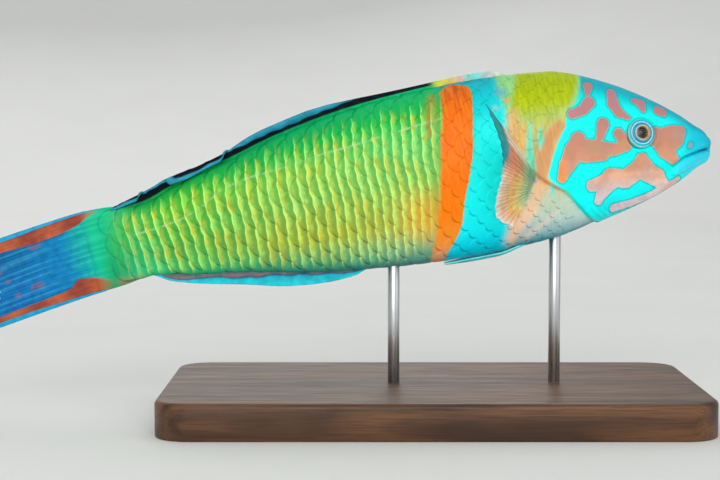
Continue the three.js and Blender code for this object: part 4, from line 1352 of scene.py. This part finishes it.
def make_anal():
    q, s, share, reach = median_fin_grid(ANAL_START, ANAL_STOP, ANAL_HEIGHT, 290, 15)
    out = -ROOT_DEPTH * (1 - ease(share, 0, 0.16)) + reach * ease(share, 0.08, 1.0) ** 0.85
    y = -0.32 * np.maximum(out, 0) + 0.22 * np.sin(s * 0.42) * share
    z = -belly_depth(s) - out + end_sink(s, ANAL_START, ANAL_STOP + 1)
    ray = ridges(q, share, ANAL_RAYS) * (1 - 0.5 * share)
    thickness = (MEMBRANE + RAY_HEIGHT * ray) * (1 - 0.55 * share)
    line = ANAL_LINE(s) + 0.04 * np.sin(s * 0.9)
    tone = lay(shades(share, ANAL_BASE), shades(share, ANAL_CYAN), ease(share - line, -0.05, 0.05))
    tone = lay(tone, ANAL_DARK, stroke(share - line, 0.06))
    return make_fin("anal_rays", s, y, z, thickness, anal_finish, ["anal_fin"],
                    {"ray": ray}, tone)


anal_finish = fin_finish("anal_skin", 0.4)
make_anal()

# %% [markdown]
# The tail fin is a fan of fourteen rays between two long lobes. Its root sits inside the end
# of the tail, and faint rays run through the blue, with a few reddish spots between them.

# %% Tail fin
TAIL_RAYS = 14
TAIL_TUCK, FLESH_INSET = 1.2, 0.6  # how far its root keeps inside the tail, up and sideways, in mm


def make_tail_fin():
    columns, rows = 170, 211
    u = np.linspace(0, 1, columns)[:, None]
    v = np.linspace(-1, 1, rows)[None, :]
    edge = TAIL["middle"] + (TAIL["lobe"] - TAIL["middle"]) * np.abs(v) ** TAIL["sharpness"]
    edge = edge + 0.35 * np.cos(v * TAIL_RAYS * np.pi)
    s = TAIL["root"] + (edge - TAIL["root"]) * u
    half = TAIL["half"] + TAIL["flare"] * u * v * v - TAIL_TUCK * (1 - ease(s, 158.5, 161.5))
    z = half * v
    ray = ridges((v + 1) / 2 + 0 * u, u + 0 * v, TAIL_RAYS, 0.3) * (1 - ease(np.abs(v) + 0 * u, 0.94, 1.0))
    joints = 0.88 + 0.12 * np.cos(s * 2 * np.pi / 0.9)
    rounded = np.maximum(1 - v * v, 0) ** 0.6
    flesh = 2 * (half_width(FLESH_END) - FLESH_INSET) * rounded * np.maximum(1 - 4.5 * u, 0) ** 1.4
    film = MEMBRANE + 0.5 * (1 - u) * (1 - v * v) + RAY_HEIGHT * 1.2 * ray * joints * (1 - 0.6 * u)
    thickness = np.maximum(flesh, film) * (1 - 0.5 * ease(np.abs(v), 0.93, 1.0))
    y = 0.35 * np.sin(v * 5.0) * ease(u, 0.3, 1) + 0 * s
    fields = {"ray": ray * ease(u, 0.1, 0.3)}
    return make_fin("tail_rays", s, y, z, thickness, tail_finish, ["caudal_fin"], fields,
                    tail_paint(s, z, half))


tail_finish = fin_finish("tail_skin", 0.4)
make_tail_fin()

# %% [markdown]
# The pectoral fins row the wrasse along. They are clear fans, held out and back here: teal
# at the tip, red-brown along the upper rays, orange below and greenish at the root.

# %% Pectoral fins
PECTORAL = {"s": 47.0, "z": -4.2, "length": 5.6, "rake": 26}
# v from the top ray to the lowest, then how far its tip lies back, out and up from its root
PECTORAL_TIPS = [(0, 11.0, 17.0, 19.8), (0.25, 8.9, 19.6, 11.2), (0.5, 9.0, 18.4, 5.2),
                 (0.75, 10.6, 15.2, 0.2), (0.88, 10.6, 12.8, -3.8), (1, 6.5, 9.6, -6.3)]
PECTORAL_RAYS = 15
# share of a ray's length, paint
PECTORAL_UPPER = [(0, (110, 170, 140)), (0.22, (130, 180, 140)), (0.4, (186, 140, 104)),
                  (0.62, (214, 120, 94)), (1, (170, 120, 110))]
PECTORAL_LOWER = [(0, (130, 180, 170)), (0.25, (160, 206, 150)), (0.42, (240, 214, 120)),
                  (0.58, (252, 166, 84)), (0.85, (250, 176, 146)), (1, (240, 224, 222))]
PECTORAL_TEAL, RAY_WHITE, RAY_AMBER = paint(0, 140, 150), paint(244, 250, 236), paint(255, 206, 140)


def pectoral_paint(u, v, ray):
    """The fan's colour, and where its teal tip is."""
    tone = lay(shades(u, PECTORAL_UPPER), shades(u, PECTORAL_LOWER), ease(v + 0 * u, 0.3, 0.6))
    later = 0.35 * ease(v, 0.1, 0.55)
    teal = ease(u + 0 * v, 0.62 + later, 0.74 + later) * (1 - ease(v, 0.5, 0.62))
    tone = lay(np.minimum(tone * 1.25, 1), PECTORAL_TEAL, teal)
    white = np.clip(stroke(v - 0.05, 0.035) + stroke(v - 0.12, 0.02), 0, 1)
    tone = lay(tone, RAY_WHITE, 0.7 * white * ease(u, 0.1, 0.3) * (1 - teal))
    return lay(tone, RAY_AMBER, 0.4 * ray * ease(v, 0.3, 0.5) * (1 - teal)), teal


def make_pectoral(side, label):
    columns, rows = 197, 61
    v = np.linspace(0, 1, columns)[:, None]
    u = np.linspace(0, 1, rows)[None, :]
    back, out, up = (curve(PECTORAL_TIPS, column)(v) for column in (1, 2, 3))
    rake = np.radians(PECTORAL["rake"])
    root_s = PECTORAL["s"] + PECTORAL["length"] * v * np.sin(rake)
    root_z = PECTORAL["z"] - PECTORAL["length"] * v * np.cos(rake)
    reach = u * (1 - 0.035 * np.abs(np.sin(v * PECTORAL_RAYS * np.pi)) * ease(u, 0.7, 1))
    s = root_s + back * reach
    z = root_z + up * reach
    bow = 0.9 * np.sin(np.pi * u) * np.sin(np.pi * v)
    y = side * (side_at(root_s, root_z) - 1.4 + (out + 1.4) * reach + bow)
    ray = ridges(v + 0 * u, u + 0 * v, PECTORAL_RAYS, 0.4)
    thickness = (0.16 + 0.34 * ray * (1 - 0.65 * u)) * (1 - 0.4 * ease(u, 0.9, 1)) + 0.5 * ease(-u, -0.12, 0)
    tone, teal = pectoral_paint(u, v, ray)
    body = np.clip(0.5 + 0.45 * ray + 0.45 * teal + 0.4 * (1 - ease(u, 0, 0.16)), 0, 1)
    s, y, z, thickness, ray, body, tone = on_side(side, s, y, z, thickness, ray, body, tone)
    return make_fin(f"pectoral_rays_{label}", s, y, z, thickness, pectoral_finish,
                    [f"pectoral_fin_{label}"], {"ray": ray, "body": body}, tone)


pectoral_finish = fin_finish("pectoral_skin", 0.38, clear=True)
for side, side_name in ((1, "left"), (-1, "right")):
    make_pectoral(side, side_name)

# %% [markdown]
# The pelvic fins are folded back along the belly, where only a pale cyan blade shows.

# %% Pelvic fins
# s of root and tip, degrees from the belly's middle line, half width in degrees, mm off the belly
PELVIC = {"root": 50, "tip": 73.5, "angle": 9, "spread": 6.5, "off": 0.45}
PELVIC_RAYS = 6
# share across the blade, paint
PELVIC_TONES = [(-1, (220, 255, 250)), (-0.5, (150, 240, 240)), (0.4, (70, 224, 236)), (1, (130, 240, 244))]


def make_pelvic(side, label):
    columns, rows = 90, 43
    u = np.linspace(0, 1, columns)[:, None]
    v = np.linspace(-1, 1, rows)[None, :]
    s = PELVIC["root"] + (PELVIC["tip"] - PELVIC["root"]) * u + 0 * v
    width = PELVIC["spread"] * np.sin(np.pi * (0.04 + 0.92 * u)) ** 0.8
    away = np.radians(-90 + PELVIC["angle"] + width * v)
    ray = ridges((v + 1) / 2 + 0 * u, u + 0 * v, PELVIC_RAYS, 0.5)
    thickness = (0.22 + 0.3 * ray * (1 - 0.6 * u)) * (1 - 0.4 * ease(np.abs(v), 0.85, 1))
    y, z = body_yz(s, away, PELVIC["off"] - 1.3 * (1 - ease(u, 0, 0.4)))
    tone = shades(v + 0 * u, PELVIC_TONES)
    s, y, z, thickness, ray, tone = on_side(side, s, y * side, z, thickness, ray, tone)
    return make_fin(f"pelvic_rays_{label}", s, y, z, thickness, pelvic_finish,
                    [f"pelvic_fin_{label}"], {"ray": ray}, tone)


pelvic_finish = fin_finish("pelvic_skin", 0.4)
for side, side_name in ((1, "left"), (-1, "right")):
    make_pelvic(side, side_name)

# %% [markdown]
# An eye is a flat ringed iris around a dark pupil, under a clear dome. The ringed ball is
# turned as one profile, and the dome is a second, glass one that stands just clear of it.

# %% Eyes
EYE_TURNS = 96
# radius of each ring from the middle of the pupil, paint
EYE_RINGS = [(0, (8, 8, 6)), (1.28, (6, 5, 4)), (1.36, (20, 8, 4)), (1.46, (206, 130, 70)),
             (1.62, (216, 190, 160)), (1.74, (244, 250, 252)), (1.86, (160, 226, 240)),
             (1.98, (10, 170, 214)), (2.4, (6, 180, 214)), (2.52, (10, 120, 160)),
             (2.62, (110, 200, 226)), (2.76, (214, 244, 250)), (2.9, (120, 206, 226)),
             (3.02, (10, 170, 200)), (3.3, (40, 190, 210)), (3.46, (120, 204, 210)),
             (3.58, (208, 228, 224)), (3.7, (120, 200, 200)), (4.2, (30, 190, 196))]
# radius, height over the eye's middle: pupil, iris, the fold round it and the back of the ball
BALL_PROFILE = [(0.0, 2.04), (0.6, 2.00), (1.1, 1.88), (1.4, 1.76), (1.5, 1.82), (2.0, 1.76), (2.5, 1.62),
                (2.62, 1.56), (2.85, 1.60), (3.1, 1.50), (3.2, 1.44), (3.45, 1.38), (3.7, 1.12), (3.85, 0.7),
                (3.8, 0.0), (3.2, -1.4), (2.0, -2.3), (0.0, -2.7)]
DOME_PROFILE = [(0.0, 2.86), (0.8, 2.78), (1.5, 2.54), (2.1, 2.16), (2.6, 1.68), (2.66, 1.56), (2.3, 1.76),
                (1.5, 1.92), (1.2, 2.04), (0.6, 2.12), (0.0, 2.14)]


def smooth_profile(rows, steps):
    points = np.array(rows, float)
    run = np.concatenate([[0], np.cumsum(np.hypot(*np.diff(points, axis=0).T))])
    at = np.linspace(0, run[-1], steps)
    table = np.column_stack([run, points])
    radius, height = curve(table, 1)(at), curve(table, 2)(at)
    radius[0] = radius[-1] = 0.0
    return np.maximum(radius, 0), height


def turned_piece(name, side, profile, steps, finish, nodes, painted):
    """Turns a profile about the eye's axis and sets it in the head."""
    radius, height = smooth_profile(profile, steps)
    turns = np.arange(EYE_TURNS) * 2 * np.pi / EYE_TURNS
    inner = slice(1, -1)
    along = (radius[inner, None] * np.cos(turns)).ravel()
    upward = (radius[inner, None] * np.sin(turns)).ravel()
    outward = np.repeat(height[inner], EYE_TURNS)
    along, upward = np.append(along, [0, 0]), np.append(upward, [0, 0])
    outward = np.append(outward, [height[0], height[-1]])
    rings = steps - 2
    faces = []
    for r in range(rings - 1):
        for i in range(EYE_TURNS):
            after = (i + 1) % EYE_TURNS
            here, below = r * EYE_TURNS, (r + 1) * EYE_TURNS
            faces.append((here + i, below + i, below + after, here + after))
    top, bottom = rings * EYE_TURNS, rings * EYE_TURNS + 1
    for i in range(EYE_TURNS):
        after = (i + 1) % EYE_TURNS
        faces.append((top, i, after))
        last = (rings - 1) * EYE_TURNS
        faces.append((bottom, last + after, last + i))
    lean_out, lean_up = np.radians(EYE["forward"]), np.radians(EYE["up"])
    ahead = np.array([np.cos(lean_out), -side * np.sin(lean_out), 0])
    axis = np.array([np.sin(lean_out), side * np.cos(lean_out) * np.cos(lean_up), np.sin(lean_up)])
    axis /= np.linalg.norm(axis)
    lift = np.cross(ahead, axis) * -side
    ahead = np.cross(lift, axis) * side
    local = along[:, None] * ahead + upward[:, None] * lift + outward[:, None] * axis
    middle = float(side_at(np.array(EYE["s"]), np.array(EYE["z"]))) + EYE["proud"] - EYE["depth"]
    s, y, z = EYE["s"] - local[:, 0], side * middle + local[:, 1], EYE["z"] + local[:, 2]
    facing = np.cross(ahead, lift) @ axis
    faces = faces if facing > 0 else [face[::-1] for face in faces]
    away = np.hypot(along, upward)
    tones = {"tone": painted(away, along, upward, outward)} if painted else None
    flat = np.stack([along, upward, outward], -1)
    faces = np.array(faces, dtype=object)
    return make_piece(name, posed(s, y, z), faces, finish, nodes, {}, tones, flat)


def iris_paint(away, ahead, upward, outward):
    tone = shades(away, EYE_RINGS)
    front = ease(ahead / np.maximum(away, 0.1), -0.3, 0.6)
    tone = lay(tone, paint(250, 160, 30), stroke(away - 1.58, 0.26) * front)
    # A painted glint: a soft brownish reflection on the dark pupil, a little behind its middle.
    painted_glint = ease(-np.hypot(ahead + 0.5, upward + 0.1), -0.75, -0.1)
    tone = lay(tone, paint(110, 104, 60), 0.35 * painted_glint)
    # Painted shade: the ball darkens towards its back, where it sits down in the socket.
    return lay(tone, paint(20, 40, 40), ease(-outward, -0.6, 0.2))


ball_finish, ball_tree, ball_shader = finish_of("iris", 0.35, Coat_Weight=0.1, Coat_Roughness=0.08,
                                                Specular_IOR_Level=0.15)
ball_skin = use(ball_tree, living_skin, {"Places": stored(ball_tree, "flat", "Vector"), "Mottle Size": 0.5,
                                         "Pore Size": 0.12})
ball_tone = mixed(ball_tree, ranged(ball_tree, ball_skin["Mottle"], 0.35, 0.7, 0.0, 0.3),
                  stored(ball_tree, "tone", "Color"), paint4(70, 90, 90), "MULTIPLY")
ball_tree.links.new(ball_tone, ball_shader["Base Color"])
ball_tree.links.new(ranged(ball_tree, ball_skin["Mottle"], 0.3, 0.7, 0.24, 0.34), ball_shader["Roughness"])
dome_finish, dome_tree, dome_shader = finish_of("clear_dome", 0.02, Transmission_Weight=1.0, IOR=1.34)
dome_tone = mixed(dome_tree, node(dome_tree, "TexNoise", {"Scale": 300.0}).outputs["Fac"], (1, 1, 1, 1),
                  (0.97, 0.99, 0.98, 1))
dome_tree.links.new(dome_tone, dome_shader["Base Color"])
for side, side_name in ((1, "left"), (-1, "right")):
    stands_for = [f"eye_{side_name}"]
    turned_piece(f"eyeball_{side_name}", side, BALL_PROFILE, 90, ball_finish, stands_for, iris_paint)
    turned_piece(f"eye_dome_{side_name}", side, DOME_PROFILE, 48, dome_finish, [], None)

# %% [markdown]
# A plain stand carries the fish: a low walnut block and two steel rods that go up into the
# belly. The block's edges are rounded and its grain runs the long way. The rods are
# brushed along their length.

# %% Stand
BASE = {"length": 136, "width": 72, "height": 9, "corner": 9, "bevel": 1.2}
# how finely each noise repeats along x, y and z, per metre
BAND_STRETCH, FIBRE_STRETCH = (12.0, 140.0, 140.0), (90.0, 2600.0, 2600.0)
BRUSH_STRETCH = (5200.0, 5200.0, 60.0)
# how far the underside's softened edge stands in, and at what height
FOOT_RINGS = [(1.0, 0.0), (0.35, 0.0), (0.1, 0.12), (0.0, 0.4)]
ROD_CHAMFER = 0.2  # share of the rod's radius


def wood_finish():
    material, tree, shader = finish_of("oiled_walnut", 0.42, Specular_IOR_Level=0.35)
    place = node(tree, "TexCoord").outputs["Object"]
    broad, fine = (stretch_places(tree, place, factors) for factors in (BAND_STRETCH, FIBRE_STRETCH))
    band_noise = {"Vector": broad, "Scale": 1.0, "Detail": 4.0, "Distortion": 0.6}
    bands = node(tree, "TexNoise", band_noise).outputs["Fac"]
    fibre = node(tree, "TexNoise", {"Vector": fine, "Scale": 1.0, "Detail": 3.0}).outputs["Fac"]
    colour = mixed(tree, ranged(tree, bands, 0.35, 0.65), paint4(58, 36, 22), paint4(112, 74, 46))
    colour = mixed(tree, ranged(tree, fibre, 0.4, 0.7, 0.0, 0.5), colour, paint4(46, 28, 18))
    tree.links.new(colour, shader["Base Color"])
    tree.links.new(ranged(tree, fibre, 0.3, 0.7, 0.36, 0.52), shader["Roughness"])
    bump = node(tree, "Bump", {"Height": fibre, "Distance": 0.00008, "Strength": 0.4})
    tree.links.new(bump.outputs["Normal"], shader["Normal"])
    return material


def steel_finish():
    material, tree, shader = finish_of("brushed_rod", 0.3, Metallic=1.0)
    place = node(tree, "TexCoord").outputs["Object"]
    along = stretch_places(tree, place, BRUSH_STRETCH)
    lines = node(tree, "TexNoise", {"Vector": along, "Scale": 1.0, "Detail": 2.0}).outputs["Fac"]
    tree.links.new(mixed(tree, lines, paint4(168, 170, 174), paint4(206, 208, 210)), shader["Base Color"])
    tree.links.new(ranged(tree, lines, 0.3, 0.7, 0.22, 0.4), shader["Roughness"])
    return material


walnut, steel = wood_finish(), steel_finish()


def turns_of(count):
    return np.linspace(0, 2 * np.pi, count + 1)[:-1]


def tube_faces(rings, count):
    """Quads between rings of points, and one face over each end."""
    faces = []
    for r in range(rings - 1):
        for i in range(count):
            here, after = r * count + i, r * count + (i + 1) % count
            faces.append((here, after, after + count, here + count))
    faces.append(tuple(range(count))[::-1])
    faces.append(tuple((rings - 1) * count + i for i in range(count)))
    return np.array(faces, dtype=object)


def make_base():
    """A rounded block with softened edges, standing where the model's base stands."""
    rings = list(FOOT_RINGS)
    for turn in np.linspace(0, np.pi / 2, 7):
        inset = BASE["bevel"] * (1 - np.cos(turn))
        rings.append((inset, BASE["height"] - BASE["bevel"] * (1 - np.sin(turn))))
    rings.append((BASE["bevel"] + 0.6, BASE["height"]))
    turns = turns_of(128)
    places = []
    for inset, z in rings:
        radius = BASE["corner"] - inset
        corner_x = np.sign(np.cos(turns)) * (BASE["length"] / 2 - BASE["corner"])
        corner_y = np.sign(np.sin(turns)) * (BASE["width"] / 2 - BASE["corner"])
        x, y = corner_x + radius * np.cos(turns), corner_y + radius * np.sin(turns)
        places.append(np.stack([x, y, z + 0 * turns], -1))
    faces = tube_faces(len(rings), len(turns))
    return make_piece("walnut_base", np.concatenate(places) * MM, faces, walnut, ["stand_base"])


def make_rod(name, node_name):
    """A smooth rod with a small chamfer, in the place and length of the model's rod."""
    low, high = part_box(node_name)
    middle, radius = (low + high) / 2, (high.x - low.x) / 2
    turns = turns_of(48)
    narrow, chamfer = radius * (1 - ROD_CHAMFER), radius * ROD_CHAMFER
    rings = [(narrow, low.z), (radius, low.z + chamfer), (radius, high.z - chamfer), (narrow, high.z)]
    places = [np.stack([middle.x + r * np.cos(turns), middle.y + r * np.sin(turns), z + 0 * turns], -1)
              for r, z in rings]
    faces = tube_faces(len(rings), len(turns))
    return make_piece(name, np.concatenate(places), faces, steel, [node_name])


make_base()
make_rod("steel_rod_front", "stand_rod_front")
make_rod("steel_rod_rear", "stand_rod_rear")

# %% [markdown]
# The camera faces the fish's near side from a little above it, with a long lens, so the
# fish keeps its natural proportions and stands in the frame as it does in the photo.

# %% Camera
CAMERA_RISE = 4.0  # degrees down to the target
CAMERA_DISTANCE = 434.8
CAMERA_TARGET = (-18.41, 0.0, 45.46)
camera_data = bpy.data.cameras.new("camera")
camera_data.lens = 85
camera_data.sensor_width = 36
camera_data.clip_start = 0.01
camera = bpy.data.objects.new("camera", camera_data)
bpy.context.scene.collection.objects.link(camera)
look = np.array([0, np.cos(np.radians(CAMERA_RISE)), -np.sin(np.radians(CAMERA_RISE))])
camera.location = Vector((np.array(CAMERA_TARGET) - look * CAMERA_DISTANCE) * MM)
camera.rotation_euler = Vector(look).to_track_quat("-Z", "Y").to_euler()
bpy.context.scene.camera = camera
print("camera (m):", [round(v, 3) for v in camera.location])

# %% [markdown]
# A fish in clear shallow water is lit softly from many sides. One wide soft box in front
# does most of it here, with weaker ones beside, behind and above, and a pale room all
# round. The plain view transform shows each paint close to the colour it was given.

# %% Light
# name, place in metres, width in metres, power in watts
LAMPS = [
    ("front_box", (-0.1, -0.95, 0.3), 1.0, 8.8),
    ("side_box", (0.8, -0.35, 0.3), 0.6, 1.2),
    ("rear_box", (-0.2, 0.8, 0.6), 0.8, 2.2),
    ("top_box", (0.0, 0.0, 0.95), 0.8, 0.6),
]
LAMP_AIM = (0, 0, 0.05)
ROOM_COLOUR, ROOM_STRENGTH = (0.86, 0.88, 0.9, 1), 0.7
for name, place, width, power in LAMPS:
    lamp_data = bpy.data.lights.new(name, "AREA")
    lamp_data.shape = "SQUARE"
    lamp_data.size = width
    lamp_data.energy = power
    lamp = bpy.data.objects.new(name, lamp_data)
    lamp.location = place
    lamp.visible_camera = False
    lamp.rotation_euler = (Vector(LAMP_AIM) - Vector(place)).to_track_quat("-Z", "Y").to_euler()
    bpy.context.scene.collection.objects.link(lamp)
world = bpy.data.worlds.new("pale_room")
world.use_nodes = True
world.node_tree.nodes["Background"].inputs["Color"].default_value = ROOM_COLOUR
world.node_tree.nodes["Background"].inputs["Strength"].default_value = ROOM_STRENGTH
bpy.context.scene.world = world
bpy.context.scene.view_settings.view_transform = "Standard"
print("lamps:", ", ".join(f"{name} {power} W" for name, _, _, power in LAMPS))

# %% [markdown]
# The stand rests on a pale sheet that curves up far behind it, as a photographer's paper
# does, so no corner of a room shows. It is a plain mesh in the scene, not joined to the model.

# %% Floor
FLOOR_FLAT, FLOOR_EDGE, FLOOR_RISE = 0.8, 1.6, 1.2
floor_finish, floor_tree, floor_shader = finish_of("pale_floor", 0.8)
grain = node(floor_tree, "TexNoise", {"Scale": 60.0, "Detail": 3.0}).outputs["Fac"]
floor_tone = mixed(floor_tree, grain, (0.70, 0.70, 0.68, 1), (0.75, 0.75, 0.73, 1))
floor_tree.links.new(floor_tone, floor_shader["Base Color"])


def make_floor():
    """A round pale sheet that curves up far from the model on every side."""
    flat_radii, risen_radii = np.linspace(0.1, FLOOR_FLAT, 8), np.linspace(FLOOR_FLAT, FLOOR_EDGE, 18)[1:]
    radii = np.concatenate([[0.02], flat_radii, risen_radii])
    rise = FLOOR_RISE * np.clip((radii - FLOOR_FLAT) / (FLOOR_EDGE - FLOOR_FLAT), 0, 1) ** 2.2
    turns = turns_of(96)
    x, y = radii[:, None] * np.cos(turns), radii[:, None] * np.sin(turns)
    places = np.stack([x, y, rise[:, None] + 0 * x], -1).reshape(-1, 3)
    faces = []
    count = len(turns)
    for r in range(len(radii) - 1):
        for i in range(count):
            after = (i + 1) % count
            faces.append((r * count + i, (r + 1) * count + i, (r + 1) * count + after, r * count + after))
    faces.append(tuple(range(count)))
    mesh = bpy.data.meshes.new("floor")
    mesh.from_pydata(places.tolist(), [], faces)
    mesh.polygons.foreach_set("use_smooth", [True] * len(mesh.polygons))
    mesh.materials.append(floor_finish)
    floor = bpy.data.objects.new("floor", mesh)
    bpy.context.scene.collection.objects.link(floor)
    print("floor:", len(radii), "rings, out to", FLOOR_EDGE, "m")


make_floor()
